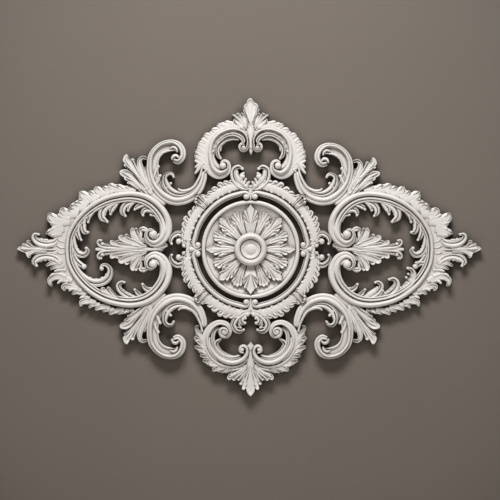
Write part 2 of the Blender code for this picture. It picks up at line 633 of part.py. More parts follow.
def plan_mesh(faces):
    """Triangles of the plan out to its hull, and which of them the patches cover."""
    points, corners = welded(faces)
    tops = highest(points, faces)
    shown = []
    for face, (a, b, c) in zip(faces, corners):
        area = plan_area(points[a], points[b], points[c])
        if abs(area) > LEAST_AREA and (tops[[a, b, c]] < face[:, 2] + HIDDEN).any():
            shown.append((a, b, c) if area > 0 else (a, c, b))
    used = sorted({n for face in shown for n in face})
    renumber = {n: i for i, n in enumerate(used)}
    shown = [tuple(renumber[n] for n in face) for face in shown]
    flat = [Vector(points[n]) for n in used]
    verts, _, triangles, _, _, _ = delaunay_2d_cdt(flat, [], shown, 0, MERGE)
    verts = np.array([tuple(v) for v in verts])
    middles = verts[np.array(triangles)].mean(axis=1)
    return verts, triangles, list(highest(middles, faces) > 0)


def neighbours(triangles):
    """For each triangle edge, the triangles on it."""
    sharing = {}
    for i, t in enumerate(triangles):
        for a, b in zip(t, t[1:] + t[:1]):
            sharing.setdefault((min(a, b), max(a, b)), []).append(i)
    return sharing


def regions(triangles, inside, wanted):
    """Groups of triangles joined by their edges, among those that are inside or outside."""
    sharing = neighbours(triangles)
    joined = {}
    for pair in sharing.values():
        if len(pair) == 2 and inside[pair[0]] == inside[pair[1]] == wanted:
            joined.setdefault(pair[0], []).append(pair[1])
            joined.setdefault(pair[1], []).append(pair[0])
    left = {i for i, flag in enumerate(inside) if flag == wanted}
    groups = []
    while left:
        group, todo = [], [left.pop()]
        while todo:
            i = todo.pop()
            group.append(i)
            for j in joined.get(i, ()):
                if j in left:
                    left.remove(j)
                    todo.append(j)
        groups.append(group)
    return groups


def without_specks(verts, triangles, inside):
    """Fills gaps too small to cast, and drops all but the largest region."""
    def area(group):
        return sum(abs(plan_area(*verts[list(triangles[i])])) / 2 for i in group)

    hull = {pair[0] for pair in neighbours(triangles).values() if len(pair) == 1}
    for group in regions(triangles, inside, False):
        if not hull.intersection(group) and area(group) < SMALL_GAP:
            for i in group:
                inside[i] = True
    kept = max(regions(triangles, inside, True), key=area)
    return [triangles[i] for i in kept]


def pinches(triangles):
    """Corners where the outline touches itself."""
    count = {}
    for (a, b), pair in neighbours(triangles).items():
        if len(pair) == 1:
            count[a] = count.get(a, 0) + 1
            count[b] = count.get(b, 0) + 1
    return [corner for corner, number in count.items() if number > 2]


def casting_mesh(faces):
    """The closed solid: the relief in front, the same plan flat at the back, walls between."""
    while True:
        verts, triangles, inside = plan_mesh(faces)
        triangles = without_specks(verts, triangles, inside)
        touching = pinches(triangles)
        if not touching:
            break
        patches = [web(verts[corner]) for corner in touching]
        faces = np.concatenate([faces] + patches)
    used = sorted({n for t in triangles for n in t})
    heights = highest(verts[used], faces)
    mesh = bmesh.new()
    front = {}
    back = {}
    for n, height in zip(used, heights):
        x, z = verts[n] * MM
        front[n] = mesh.verts.new((x, -max(height, THINNEST) * MM, z))
        back[n] = mesh.verts.new((x, 0, z))
    for a, b, c in triangles:
        mesh.faces.new((front[a], front[b], front[c]))
        mesh.faces.new((back[c], back[b], back[a]))
    directed = {(a, b) for t in triangles for a, b in zip(t, t[1:] + t[:1])}
    for a, b in sorted(directed):
        if (b, a) not in directed:
            mesh.faces.new((front[b], front[a], back[a]))
            mesh.faces.new((front[b], back[a], back[b]))
    mesh.normal_update()
    return mesh


def web(point):
    """A small disc of plaster that fills the corner where two leaves only just touch."""
    turns = [math.tau * k / WEB_SIDES for k in range(WEB_SIDES + 1)]
    edge = [(point[0] + WEB_RADIUS * math.cos(t), point[1] + WEB_RADIUS * math.sin(t), THINNEST)
            for t in turns]
    faces = np.array(grid_faces([edge, [(*point, THINNEST)] * len(edge)]))
    return faces[[abs(plan_area(*f)) > FLAT_AREA for f in faces]]


def fewer_faces(obj):
    """The object's mesh brought down to the wanted number of triangles, its back kept flat.

    The relief is pressed flatter meanwhile, which spares the outline before the surface.
    """
    for vertex in obj.data.vertices:
        vertex.co.y *= PRESSED
    reduce = obj.modifiers.new("fewer faces", "DECIMATE")
    reduce.ratio = TRIANGLES / len(obj.data.polygons)
    reduce.use_collapse_triangulate = True
    evaluated = obj.evaluated_get(bpy.context.evaluated_depsgraph_get())
    data = bpy.data.meshes.new_from_object(evaluated)
    obj.modifiers.remove(reduce)
    for vertex in data.vertices:
        depth = vertex.co.y / PRESSED
        vertex.co.y = depth if depth < -THINNEST * MM / 2 else 0
    return data


def plaster():
    """Off-white painted plaster."""
    material = bpy.data.materials.new("painted plaster")
    material.use_nodes = True
    shader = material.node_tree.nodes["Principled BSDF"]
    shader.inputs["Base Color"].default_value = PLASTER_COLOUR
    shader.inputs["Roughness"].default_value = PLASTER_ROUGHNESS
    shader.inputs["Metallic"].default_value = 0
    return material


def main():
    for obj in list(bpy.data.objects):
        bpy.data.objects.remove(obj)
    faces = all_patches()
    faces = np.array([face for face in faces if abs(plan_area(*face)) > LEAST_AREA])
    solid = casting_mesh(faces)
    data = bpy.data.meshes.new("ceiling_rose")
    solid.to_mesh(data)
    solid.free()
    rose = bpy.data.objects.new("ceiling_rose", data)
    bpy.context.collection.objects.link(rose)
    rose.data = fewer_faces(rose)
    rose.data.materials.append(plaster())


main()
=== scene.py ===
"""Plaster ceiling rose: one casting of scrolls, hooked leaves and palmettes round a flower boss.

The back lies in the plane y = 0 and the relief faces -Y, +Z up. Curves are drawn on a grid, in
steps of the grid; heights and other sizes are in millimetres, and meshes are made in metres.
"""

import math

import bpy
import numpy as np
from mathutils import Matrix, Vector


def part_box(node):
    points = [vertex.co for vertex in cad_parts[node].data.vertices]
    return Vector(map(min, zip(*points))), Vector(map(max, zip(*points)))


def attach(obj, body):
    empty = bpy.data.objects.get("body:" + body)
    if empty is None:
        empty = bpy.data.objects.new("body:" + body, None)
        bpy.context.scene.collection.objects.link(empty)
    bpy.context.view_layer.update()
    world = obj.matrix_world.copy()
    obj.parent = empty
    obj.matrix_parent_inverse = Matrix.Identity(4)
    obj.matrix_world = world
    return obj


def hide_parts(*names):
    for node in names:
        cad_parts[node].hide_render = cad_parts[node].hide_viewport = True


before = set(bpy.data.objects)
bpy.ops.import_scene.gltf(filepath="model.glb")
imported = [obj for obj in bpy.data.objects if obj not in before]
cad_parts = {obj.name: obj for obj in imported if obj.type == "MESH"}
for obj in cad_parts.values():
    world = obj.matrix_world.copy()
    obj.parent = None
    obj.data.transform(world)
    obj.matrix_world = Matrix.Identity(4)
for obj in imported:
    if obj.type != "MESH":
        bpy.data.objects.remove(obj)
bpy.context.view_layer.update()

bl_info = {
    "name": "Plaster ceiling rose",
    "version": (1, 0, 0),
    "blender": (4, 5, 0),
    "location": "3D View > Sidebar > Rose",
    "description": "Builds a cast plaster ceiling rose and a plain studio round it",
    "category": "Add Mesh",
}

NODE = "ceiling_rose"
MM = 0.001
SIDES = ((-1, "left"), (1, "right"))
LEVELS = ((1, "upper"), (-1, "lower"))

# The drawing grid: (across, down), its middle on the middle of the hub. A point's third number is
# half the width there. STEP is one grid step in millimetres.
GRID_LENGTH = 464.6
MIDDLE = (250.6, 249.4)
MIDLINE = 250.5
RIGHT_SHARE = 0.988
LOW_CORNER, HIGH_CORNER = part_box(NODE)
STEP = (HIGH_CORNER[0] - LOW_CORNER[0]) / MM / GRID_LENGTH
DEPTH = -LOW_CORNER[1] / MM

# The upper right corner scroll sits a little lower than its twin: by how much, over which stretch
# of height, and left of which grid line on the drawing.
SLUMP = 9.0
SLUMP_LOW = 200.0
SLUMP_HIGH = 250.0
SLUMP_FROM = 187

# How finely curves and strands are cut. A strand is never wider inside a bend than TIGHTEST of the
# bend's radius, taken as a running mean over BEND_WINDOW rows.
CURVE_CUTS = 16
ROW_SPACING = 2.4
FEWEST_ROWS = 3
TIGHTEST = 0.93
BEND_WINDOW = 5
TINY = 1e-6
UNDERCUT = 0.06

# Round noses of strands: the angles of their rows, and how far they drop. RIM_RISE is how soon the
# rim of a hollow tip reaches its full height.
NOSE_ANGLES = (14, 28, 42, 56, 69, 80)
NOSE_DROP = 0.12
RIM_RISE = 2.2

# Fans: the rim's height at a notch, the spacing of the outline's points, the usual depth of the
# hollow, and rings from the outline to the root (share of the way out, share of the depth).
NOTCH = 0.84
FAN_SPACING = 1.5
FAN_HOLLOW = 4.5
FAN_RINGS = ((1, 0.4), (0.985, 0.05), (0.96, 0), (0.93, 0.35), (0.89, 0.85), (0.82, 1), (0.66, 0.85),
             (0.5, 0.6), (0.34, 0.3), (0.18, 0.1), (0.06, 0))

# Beads and eyes: how high their round top is for its radius, and at most for its height, the drum
# below it, the pin hole at the top, and how finely they are cut.
BALL_RISE = 0.9
BALL_WAIST = 0.55
DRUM = 0.97
BALL_PIN = 0.04
BALL_CUTS = 10
BALL_SIDES = 28

# Hooked leaves: they rise by HOOK_SWELL (share of the length, millimetres) before they curl up, and
# end in a ball of TIP_BALL of their half width, TIP_PROUD above them. Those broader than TOOTHED have
# teeth at TOOTH_PLACES of their length, sized and set out as shares of the half width.
HOOK_SPACING = 2.0
HOOK_SWELL = (0.6, 1)
TIP_BALL = 1.2
TIP_PROUD = 0.5
TIP_SIDES = 16
TOOTHED = 2.9
TOOTH_PLACES = (0.38, 0.5, 0.61, 0.71)
TOOTH_OUT = 0.88
TOOTH_SIZE = 0.36
TOOTH_DROP = 1
TOOTH_SIDES = 12
BOW_WINDOW = 8
LEAST_BOW = 0.1

# Lobes: the height at the root and half way above the lower height. Those broader than BROAD are
# hollow, the rest are ribs. Between them lies a sheet: how far it is below the lobe's mean height,
# the share of the lobe's length that it covers, and its half width as a share of the lobe's and a
# margin.
LOBE_SPACING = 1.7
LOBE_FOOT = 2
LOBE_SAG = 0.5
BROAD = 2.25
SHEET_FOOT = 2.2
SHEET_POINTS = 5
SHEET = (2.2, 0.62, 1.15, 1.1)
UPPER_SHEET = (1.4, 0.78, 1.15, 1.1)
LOWER_SHEET = (4.5, 0.52, 0.95, 0.6)
TOP_SHEET = (0.8, 0.88, 1.15, 1.1)
TOP_LAST_SHEET = (0.8, 0.62, 0.9, 0.4)
BOTTOM_SHEET = (4.2, 0.62, 1.15, 1.1)

# Heights in millimetres: one number, (low, high), or (share of the strand's length, height) pairs.
LONG_SCROLL_RISE = ((0, 27), (0.7, 33), (1, 38))
CUSHION_RISE = 34
VOLUTE_LEAF_RISE = (25, 26)
UPPER_LEAF_RISE = (20, 23.5)
LOWER_LEAF_RISE = (20, 25)
WEST_HOOK_RISE = (22, 26)
INNER_HOOK_RISE = (23, 28)
RIGHT_SHEET_RISE = 22
WEST_SHEET_RISE = 19
WEST_TIP_RISE = ((0, 17.5), (0.2, 20), (1, 20))
WEST_FAN_RISE = (20.5, 22)
WEST_VEIN_RISE = ((0, 20), (1, 22))
LEFT_FAN_RISE = (25, 25.5)
CLASP_RISE = 20
PALMETTE_FAN_RISE = (25, 26)
PALMETTE_RIB_RISE = (25, 25.5)
PALMETTE_HOOK_RISE = (26, 28)
PALMETTE_ROOT_RISE = 23
AXIS_FAN_RISE = (26, 27)
AXIS_RIB_RISE = (25, 26.5)
FINIAL_FAN_RISE = (29, 28)
TOP_LEAF_RISE = (25, 25.5)
BOTTOM_LEAF_RISE = (23, 27.5)
CORNER_TOOTH_RISE = (24, 27)
CORNER_EYE_RISE = 38
CORNER_KNOB_RISE = ((0, 29), (0.5, 32), (1, 31))
CORNER_FAN_RISE = (25, 26)
CORNER_SPRAY_RISE = (24, 25.5)
SPRAY_ROOT_RISE = 24
RING_ROLL_RISE = ((0, 32), (0.08, 29), (0.92, 29), (1, 32))
AXIS_WEDGE_RISE = 28
OUTER_BORDER_RISE = 25.4
RING_TIP_RISE = ((0, 21.5), (0.5, 25), (1, 26.5))
INNER_TIP_RISE = ((0, 24.6), (1, 25.8))
AXIS_HOOK_RISE = (28, 31)
SIDE_HOOK_RISE = (24, 31)
DIAGONAL_CURL_RISE = (28.6, 32)
TIE_LEAF_RISE = 22
TIE_LOBE_RISE = (24, 27)

# Depths of the hollow of the fans that differ from FAN_HOLLOW.
LEFT_FAN_HOLLOW = 3.6
WEST_FAN_HOLLOW = 3.4
FINIAL_HOLLOW = 4

# The boss in section, outwards from its middle: (radius in grid steps, height in millimetres). A
# half round moulding is its place, half width, height, rise and number of cuts.
HUB_PIN = 0.4
BOSS_SIDES = 256
BUTTON = ((0, 31), (1.8, 30.8), (3.4, 30), (4.6, 28.6), (5.2, 27.6), (5.9, 27.4), (7, 29), (8, 30.8),
          (8.8, 31.6), (9.5, 31.2), (10.1, 29.4))
THICK_RING = (13.2, 2.9, 28.5, 12, 12)
DISH_FLOOR = ((16.3, 22), (17.4, 13), (24, 10.5), (34, 10.5), (40, 12.5), (43, 16), (44.4, 17.2),
              (44.8, 16.4))
RIM_ROLL = (47.2, 2.1, 19, 7, 11)

# Petals of the flower: half of each outline as (across, distance from the middle, share of the rim),
# ribs as (across at the tip, reach, half width), and ranks as (low, high, depth of the hollow). The
# four kinds follow each other round the flower as PETAL_KINDS says.
PETALS = 16
PETAL_ROOT = 14.0
PETAL_HEART = 24.0
POINTED_EDGE = (
    (3.4, 16, 0.8), (4.6, 22, 0.9), (5.8, 27.6, 1), (6.5, 31, 1), (5.2, 32, NOTCH), (5.8, 34.8, 1),
    (5.1, 36.8, 1), (3.5, 36.6, NOTCH), (3.5, 39.4, 1), (2.1, 41.6, 1), (0, 44.6, 1.06),
)
DIAGONAL_EDGE = (
    (3.4, 16, 0.8), (4.9, 22, 0.9), (6, 27, 1), (6.5, 29, 1), (5.3, 30, NOTCH), (6.7, 32.6, 1),
    (6.7, 34.4, 1), (5.2, 34.9, NOTCH), (5.8, 37.6, 1), (5, 39.2, 1), (3.5, 38.8, NOTCH), (2.9, 41.2, 1),
    (1.5, 42.4, 1), (0, 43.6, 1.06),
)
SMOOTH_EDGE = (
    (3.4, 16, 0.78), (4.8, 22, 0.88), (6, 27.4, 1), (6.6, 29.6, 1), (5.8, 30.6, NOTCH), (7.1, 32.8, 1),
    (7.3, 34.8, 1), (6.1, 35, NOTCH), (6.7, 37.4, 1), (5.6, 39.2, 1), (4.2, 38.9, NOTCH), (3.4, 40.6, 1),
    (1.6, 42.4, 1), (0, 44.8, 1.06),
)
ROUND_EDGE = (
    (3.8, 16, 0.8), (5.6, 24, 0.92), (6.4, 29, 1), (6.5, 32.4, 1), (5.3, 33.8, NOTCH), (5.7, 35.8, 1),
    (4.7, 37.8, 1), (3.2, 37.2, NOTCH), (2.7, 39, 1), (1.3, 39.8, 1), (0, 38.9, NOTCH),
)
POINTED_RIBS = ((0, 39, 1.7), (3.2, 32, 1.3))
DIAGONAL_RIBS = ((0, 35, 1.5), (3.2, 33, 1.4))
ROUND_RIBS = ((0, 34, 1.3), (3, 32.5, 1.2))
FIRST_RANK = (24.5, 27, 2.2)
SECOND_RANK = (20.5, 22.5, 2.2)
SMOOTH_RANK = (26, 28, 1)
POINTED = (POINTED_EDGE, POINTED_RIBS, FIRST_RANK)
DIAGONAL = (DIAGONAL_EDGE, DIAGONAL_RIBS, FIRST_RANK)
ROUND = (ROUND_EDGE, ROUND_RIBS, SECOND_RANK)
SMOOTH = (SMOOTH_EDGE, (), SMOOTH_RANK)
PETAL_KINDS = (SMOOTH, ROUND, DIAGONAL, ROUND, POINTED, ROUND, DIAGONAL, ROUND)

# A petal's rib: where it starts to rise, its height above the petal along its length, and its course
# (share of the way out, share of the distance across, share of the half width).
RIB_FOOT = 4.0
RIB_LIFT = ((0, -0.6), (0.4, 1.6), (0.8, 0.8), (1, -1.4))
RIB_COURSE = ((0, 0.34, 0.8), (0.35, 0.62, 1), (0.7, 0.86, 1), (1, 1, 0.7))

# The ring, in grid steps from the middle and degrees: its section, its outer border, the four
# rolls inside it with their curled ends, and on each axis a wedge and two beads.
RING_SIDES = 240
RING_SECTION = ((59.7, 12), (60.3, 19), (61, 23), (62, 24.4), (64.4, 23.5))
BORDER_LINE = 64.8
BORDER_HALF = 4.0
BORDER_TURNS = range(8, 83, 6)
ROLL_LINE = 56.8
ROLL_HALF = 2.75
ROLL_TURNS = range(10, 81, 14)
ROLL_CURL = ((51.2, 3.2, 1.2), (53, 2.1, 1.7), (55.4, 2.6, 2.2), (ROLL_LINE, 5.4, ROLL_HALF))
AXIS_WEDGE = ((61, 3.4), (57.6, 3), (54, 2.2), (50.4, 1.3))
BEAD_PLACE = (4.5, 52.6)
BEAD_RADIUS = 2.7
BEAD_TOP = 34

# The ring's leaf tips, from each axis to the nearest diagonal: (degrees, reach, half width) outside,
# (degrees, half width) inside. Their courses are (radius, degrees, share of the half width); an
# outer tip ends with a row NEAR_TIP short of its reach and one at the tip, narrowed by TIP_SHARE.
RING_TIPS = ((8, 69.6, 2.2), (12.6, 70.6, 2.4), (17, 72, 2.5), (21.4, 73, 2.7), (26.2, 73.6, 2.9),
             (32, 72.4, 2.8), (36.8, 71.6, 2.3), (40.4, 70.8, 1.8))
INNER_TIPS = ((9, 2), (15.4, 1.6), (20.2, 2.5), (27.4, 1.8), (32.6, 2.5), (40, 1.9))
TIP_ROOT = ((63, -4.4, 0.7), (67, -2.8, 0.95))
NEAR_TIP = 2.2
NEAR_TIP_TURN = -1
TIP_SHARE = 0.7
INNER_COURSE = ((64.8, -1.6, 0.7), (62.6, -0.8, 1), (61, 0, 0.75))
RING_TIP_SPACING = 1.6
INNER_TIP_SPACING = 1.8

# Eyes, beads and small round lobes: (across, down, radius, top).
LONG_EYE = ((153.1, 234.5, 4.3, 41),)
TOP_EYES = ((223, 166, 3.4, 40), (243.6, 147.6, 1.8, 38))
BOTTOM_EYES = ((224.6, 331.8, 4.2, 38), (242, 349.6, 2.2, 38))
SOUTH_BALLS = ((247.5, 314.4, 2.1, 30.1), (245.4, 318.2, 1.4, 29.4))
SIDE_BALLS = ((178.6, 241.8, 2.6, 31.6), (183.8, 245.6, 1.8, 30.8))
PALMETTE_KNOB = ((102.6, 244, 1.7, 29),)

# Curves of the upper left quarter, or of the left half. The long scroll runs from the axis round
# to its volute.
LONG_SCROLL = (
    (69, 251, 4.2), (70.5, 237, 4.2), (76, 225.5, 4.4), (84, 215.5, 4.6), (94, 207.3, 4.9),
    (106, 201, 5.1), (119, 197.6, 5.3), (132, 196.6, 5.5), (144, 199, 5.8), (154, 205, 6),
    (161.5, 213.5, 6.2), (165.6, 223, 6.3), (165.6, 232, 6), (161.5, 239.8, 5), (155, 243.5, 4.2),
    (149, 241.3, 3.2), (146.4, 236, 2.3), (147.6, 231.6, 1.8), (150.4, 229.9, 1.6), (153, 230.3, 1.1),
)
EYE_CUSHION = ((152, 238.6, 1.8), (156, 237.6, 2.2), (158.8, 234.8, 1.5))
VOLUTE_LOBE = (((154, 248.9, 1.2), (157, 247.8, 2), (161, 246.4, 2.5), (165.4, 245.2, 2.3)),)

# The corner C scroll: its roll, the channelled band inside it, the curled leaf that rides in it,
# teeth, the thin rim of its stem, and the roll's end curled over its eye.
CORNER_ROLL = (
    (173.8, 160.3, 2.4), (178.4, 161.4, 2.9), (182.6, 157, 3.2), (182.4, 150.5, 3.3), (178.6, 144.8, 3),
    (172, 141.9, 2.2), (163.5, 143.2, 2.1), (156.3, 148, 2.4), (151.2, 155.5, 2.8), (149.7, 164, 3),
    (150.2, 174, 3.2), (153, 183.5, 3.6), (158.5, 191.5, 4.2), (166.5, 198, 4.8), (175, 201, 4.4),
    (184, 200.2, 4.4), (193, 196, 4.3), (199.4, 188.8, 4), (203, 180, 3.6), (203.9, 174.6, 3.3),
)
CORNER_CHANNEL = (
    (176.4, 148.8, 2.4), (172, 147.4, 4), (166, 147.8, 4.6), (160, 151, 4.6), (156, 157, 4.2),
    (154.6, 165, 4), (155, 174, 3.8), (157.6, 182.5, 3.4), (162, 190, 2.6), (167, 194.5, 1.6),
)
DIAGONAL_LEAF = (
    (197.4, 183.5, 2), (191.8, 190.3, 2.5), (184.5, 193.8, 2.9), (176.5, 193.8, 3.3), (169.8, 190.3, 3.7),
    (165.5, 184, 3.6), (164.8, 177.5, 2.4), (168, 173.8, 1.9), (171.8, 174, 1.6), (173.7, 177, 1.3),
)
CORNER_TEETH = (
    ((153.4, 178, 1.8), (156, 170.6, 2.2), (158.3, 166.6, 1.3)),
    ((155, 187, 1.8), (158, 180.4, 2.3), (160.2, 176, 1.4)),
    ((166, 189, 1.5), (168.8, 185.6, 1.8), (170.8, 183.4, 1.1)),
)
STEM_RIM = (
    (202.4, 167, 1.2), (199.8, 177, 1.4), (193.8, 187, 1.5), (186.4, 190.8, 1.6), (180.8, 190.6, 1.3),
    (178.6, 189, 0.9),
)
CORNER_KNOB = ((170.6, 148.6, 1.2), (173.4, 147.2, 1.9), (176.4, 148.8, 2.1), (177.4, 151.6, 1.6))
CORNER_EYE_CURL = ((172.4, 158.8, 1.5), (173.8, 156.6, 1.9), (176.6, 156, 1.9), (178.8, 157.8, 1.4))
SPRAY_ROOT = ((145, 189, 3), (154.5, 196.6, 4.5), (163, 203, 3))

# The scrolls above the ring: roll, ridge, curled leaf, tooth, inner roll and plate, then the drop
# on the upright axis.
TOP_ROLL = (
    (221, 162.8, 1.3), (224.2, 161, 1.5), (227.7, 162.6, 1.8), (228.9, 166.4, 2.1), (227.4, 171.4, 3.4),
    (219.5, 174.7, 4.6), (211.8, 170, 5.3), (208.4, 160, 5), (208.2, 150, 4.6), (211.4, 140.5, 3.8),
    (218.6, 132.8, 3), (228, 128.9, 2.5), (236.8, 128.6, 2.4), (243.8, 131.8, 2.3), (248, 138.4, 2),
    (248, 145.4, 1.8), (245.6, 149.8, 1.8), (241.6, 150, 1.7), (239.9, 146.6, 1.6), (241.8, 143.9, 1.4),
    (244.2, 144.9, 1),
)
TOP_RIDGE = (
    (213.4, 158, 1.2), (213.8, 149.8, 1.9), (218, 142.2, 2), (225.2, 136.4, 2), (233, 134.4, 2.2),
    (239.8, 136.6, 2.3), (243.4, 140.4, 2.2), (243, 143.6, 1.6),
)
TOP_CURL = (
    (239, 139.4, 1.3), (233, 138.6, 1.6), (226.6, 140.2, 1.7), (221, 143.8, 2), (217.6, 149, 2.2),
    (217.9, 155, 2.1), (220.8, 158.8, 1.3),
)
TOP_TOOTH = ((226, 140.4, 1.2), (221, 145.4, 1.6), (220.3, 150.6, 1))
TOP_INNER = ((212.6, 154, 1.4), (213.4, 160, 2.4), (216.2, 165.6, 3), (221, 169.4, 2.6))
TOP_PLATE = ((226, 133, 1.6), (234, 131.4, 2.2), (241.6, 134.4, 2.2), (245, 140.4, 1.6))
TOP_DROPS = (
    ((250.7, 112, 3), (250.7, 120, 4.6), (250.7, 128, 5.4), (250.7, 136, 3.8), (250.7, 142, 2.3),
     (250.8, 147.6, 2.3)),
    ((250.9, 147, 1.3), (250.9, 150.6, 2.2), (251, 154, 0.8)),
)

# The scrolls below the ring: roll, crest, inner band, outer ridge, curled leaf and spiral, then
# the drop on the upright axis.
BOTTOM_ROLL = (
    (222, 336.6, 1.3), (227.7, 336, 1.8), (230, 330.6, 2), (227, 324.6, 2.6), (219.5, 322.5, 2.7),
    (212.5, 325.8, 3.2), (207.6, 332, 3.8), (205.6, 339, 3.8), (206.8, 346.4, 3.2), (210.4, 354, 2.6),
    (216, 360.4, 2.2),
)
BOTTOM_CREST = (
    (209.6, 337, 1.3), (209.5, 344.4, 2.2), (213.2, 351.6, 2.5), (220, 358.4, 2.6), (228.6, 362, 2.6),
    (236.7, 361.8, 2.5), (243.4, 358.5, 2.5), (247, 353, 2.1), (246.6, 348.2, 1.8), (243.4, 345.9, 1.6),
    (240.4, 347.6, 1.6), (240.4, 351.2, 1.6), (243, 352.4, 1.2),
)
BOTTOM_INNER = (
    (219, 327.6, 1.6), (214.6, 331, 2.3), (212.8, 337.4, 2.3), (214, 345, 2.3), (218.6, 352, 2.4),
    (226, 357, 2.4), (234, 358, 2.2), (240, 356, 1.8),
)
BOTTOM_EDGE = (
    (206.5, 350, 2), (211.6, 357.8, 2.2), (219, 363.6, 2.3), (227.6, 366.4, 2.2), (236, 366.4, 2),
    (243, 363.4, 1.8), (247.6, 358.6, 1.4),
)
BOTTOM_LEAF = (
    (241, 357, 1.6), (232, 357.5, 2.1), (221, 352.6, 2.6), (216, 344, 2.5), (220.6, 338.8, 1.3),
)
BOTTOM_SPIRAL = (
    (226.6, 336.4, 2), (222, 335.8, 2), (220, 332.2, 1.9), (221.2, 328.9, 1.8), (224.6, 328.2, 1.6),
    (227, 330.2, 1.5), (226.8, 332.8, 1.3), (224.9, 333.4, 1.1),
)
BOTTOM_DROPS = (
    ((250.5, 384, 3), (250.5, 376, 4.6), (250.5, 366, 5), (250.5, 357, 3), (250.5, 351, 2.3),
     (250.6, 347.2, 2.6)),
    ((250.5, 350, 1.6), (250.6, 346.6, 4), (250.7, 344.4, 2.2), (250.7, 342.9, 0.8)),
)

# The pointed leaf at the far end: its sheet, tip, and veins, and the clasp on the inner side.
WEST_SHEET = (
    (84, 205, 4), (71, 219, 6), (63.5, 234, 8), (62, 250, 9), (64, 266, 8), (72, 281, 6), (84, 293, 4),
)
WEST_TIP = ((61, 249.8, 7), (54, 249.8, 4.6), (46, 249.7, 3.2), (38, 249.5, 2.6))
WEST_VEINS = (
    ((66, 243, 0.8), (60.6, 241, 1.2), (57.6, 238.4, 0.7)),
    ((67, 248, 0.8), (61, 247.6, 1.3), (57.2, 245.4, 0.7)),
    ((66, 253, 0.8), (61, 253.6, 1.2), (57.4, 252, 0.7)),
    ((56, 249.6, 1), (46, 249.5, 1), (36, 249.3, 1.1), (27, 249, 1.2), (21, 248.9, 0.7)),
    ((40, 248, 0.7), (33.6, 246.6, 0.9), (29, 242.6, 0.7)),
    ((40, 251.2, 0.7), (33.6, 252.6, 0.9), (29.2, 256, 0.7)),
)
CLASP = ((153, 249.4, 1), (156.6, 249.4, 2.4), (160, 249.4, 3))

# Hooked leaves, each a strand that narrows to its curled tip.
WEST_HOOKS = (
    ((58.4, 238, 1.6), (54.4, 242.2, 3.4), (47, 244, 4.3), (39.4, 242.6, 4.3), (34.6, 238.6, 3.4),
     (35, 235, 2.4), (38.6, 234.4, 1.1)),
    ((61, 263, 3), (54.6, 258, 3.8), (46.4, 256.2, 4.1), (38.8, 257.8, 4.3), (34.6, 261.8, 3.1),
     (36.8, 265.8, 1.2)),
)
INNER_HOOKS = (
    ((119, 200.6, 3), (108.5, 205, 4.2), (102.6, 211.4, 4), (102.3, 217.6, 3.4), (107.4, 221.8, 1.2)),
    ((117, 203, 2.6), (112, 208.5, 3), (110.6, 214.3, 1)),
    ((137, 200.4, 2.4), (128, 203.3, 3.3), (123.2, 208.2, 3.2), (122.8, 213, 2.6), (125.6, 216, 1.1)),
    ((134, 201.4, 2.4), (129.6, 205.6, 2.6), (128.2, 210.6, 1)),
    ((148, 203, 2.4), (140.4, 205.4, 2.8), (136.2, 207.8, 2.2), (134.8, 209.6, 1)),
    ((158.6, 214.5, 3), (151.4, 209.9, 3.1), (145.2, 209.9, 2.9), (142.9, 213, 2.2), (143.1, 215.3, 1.1)),
    ((159.6, 221, 2.2), (155.4, 215.4, 2), (150.8, 215, 1)),
    ((108, 203.4, 1.8), (96.4, 208.6, 2.2), (90, 215.4, 2.1), (88.3, 222.2, 1)),
    ((88, 212, 2.4), (83.6, 219, 2.8), (82.8, 226.2, 3), (84.6, 231.8, 2.6), (88, 232.4, 1.2)),
    ((79.4, 220, 2), (77.2, 230, 2.8), (79, 237, 2.2), (81.4, 240, 1)),
    ((72.8, 236, 2.6), (74, 246.6, 3.2), (78, 253.4, 3.3), (84, 254.8, 2.9), (87.6, 251.4, 2.3),
     (86.4, 248.2, 1.3)),
    ((73, 255, 2.4), (77.4, 261.6, 2.8), (84, 266.6, 2.2)),
    ((141, 300, 2.8), (129, 296.6, 3.4), (121, 291.4, 3.2), (118.4, 285.6, 2.6), (121.4, 282.3, 1.8),
     (124.4, 282.4, 1)),
    ((146, 299, 2.4), (139, 294.6, 2.6), (134.8, 289.6, 1)),
    ((159, 289, 2.6), (152, 291, 3), (145.6, 288.6, 2.4), (142.6, 284.2, 1.1)),
)
LEFT_HOOKS = (
    ((73, 262, 3), (80.4, 274.6, 3.6), (90.6, 282, 4), (101, 282.4, 4.1), (108.2, 277.6, 3.8),
     (110.2, 271, 2.9), (108.2, 266.6, 2.1), (104.6, 264.8, 1.8), (101.8, 266.2, 1.8),
     (101.8, 268.6, 1.8)),
)
RIGHT_HOOKS = (
    ((75, 264, 2.6), (79.4, 263, 2.4), (83, 262.8, 1.2)),
    ((112, 300, 3), (100, 294, 4.4), (90, 285, 4.8), (86, 276, 3.6), (87.4, 270.2, 2.2),
     (91.6, 268.2, 1.2)),
    ((86, 279.4, 1.8), (89, 276.4, 1.6), (91.2, 274, 1)),
    ((88.4, 285, 2), (91, 281, 1.8), (93.2, 277.4, 1)),
    ((128, 300, 3), (113.6, 296, 4.2), (104.6, 289, 4.4), (102.8, 282.8, 3.2), (106, 279, 2),
     (110.4, 279.4, 1.1)),
    ((122.6, 297, 2), (119.4, 293.6, 1.9), (117, 290.6, 1)),
)
RIGHT_SHEETS = (
    ((146, 298.6, 2.4), (134, 297, 3.6), (125, 291.4, 3), (122.4, 287.4, 1.6)),
    ((104, 297, 3), (94.6, 289.6, 4.4), (87.6, 280.6, 4), (85.4, 272, 2)),
)
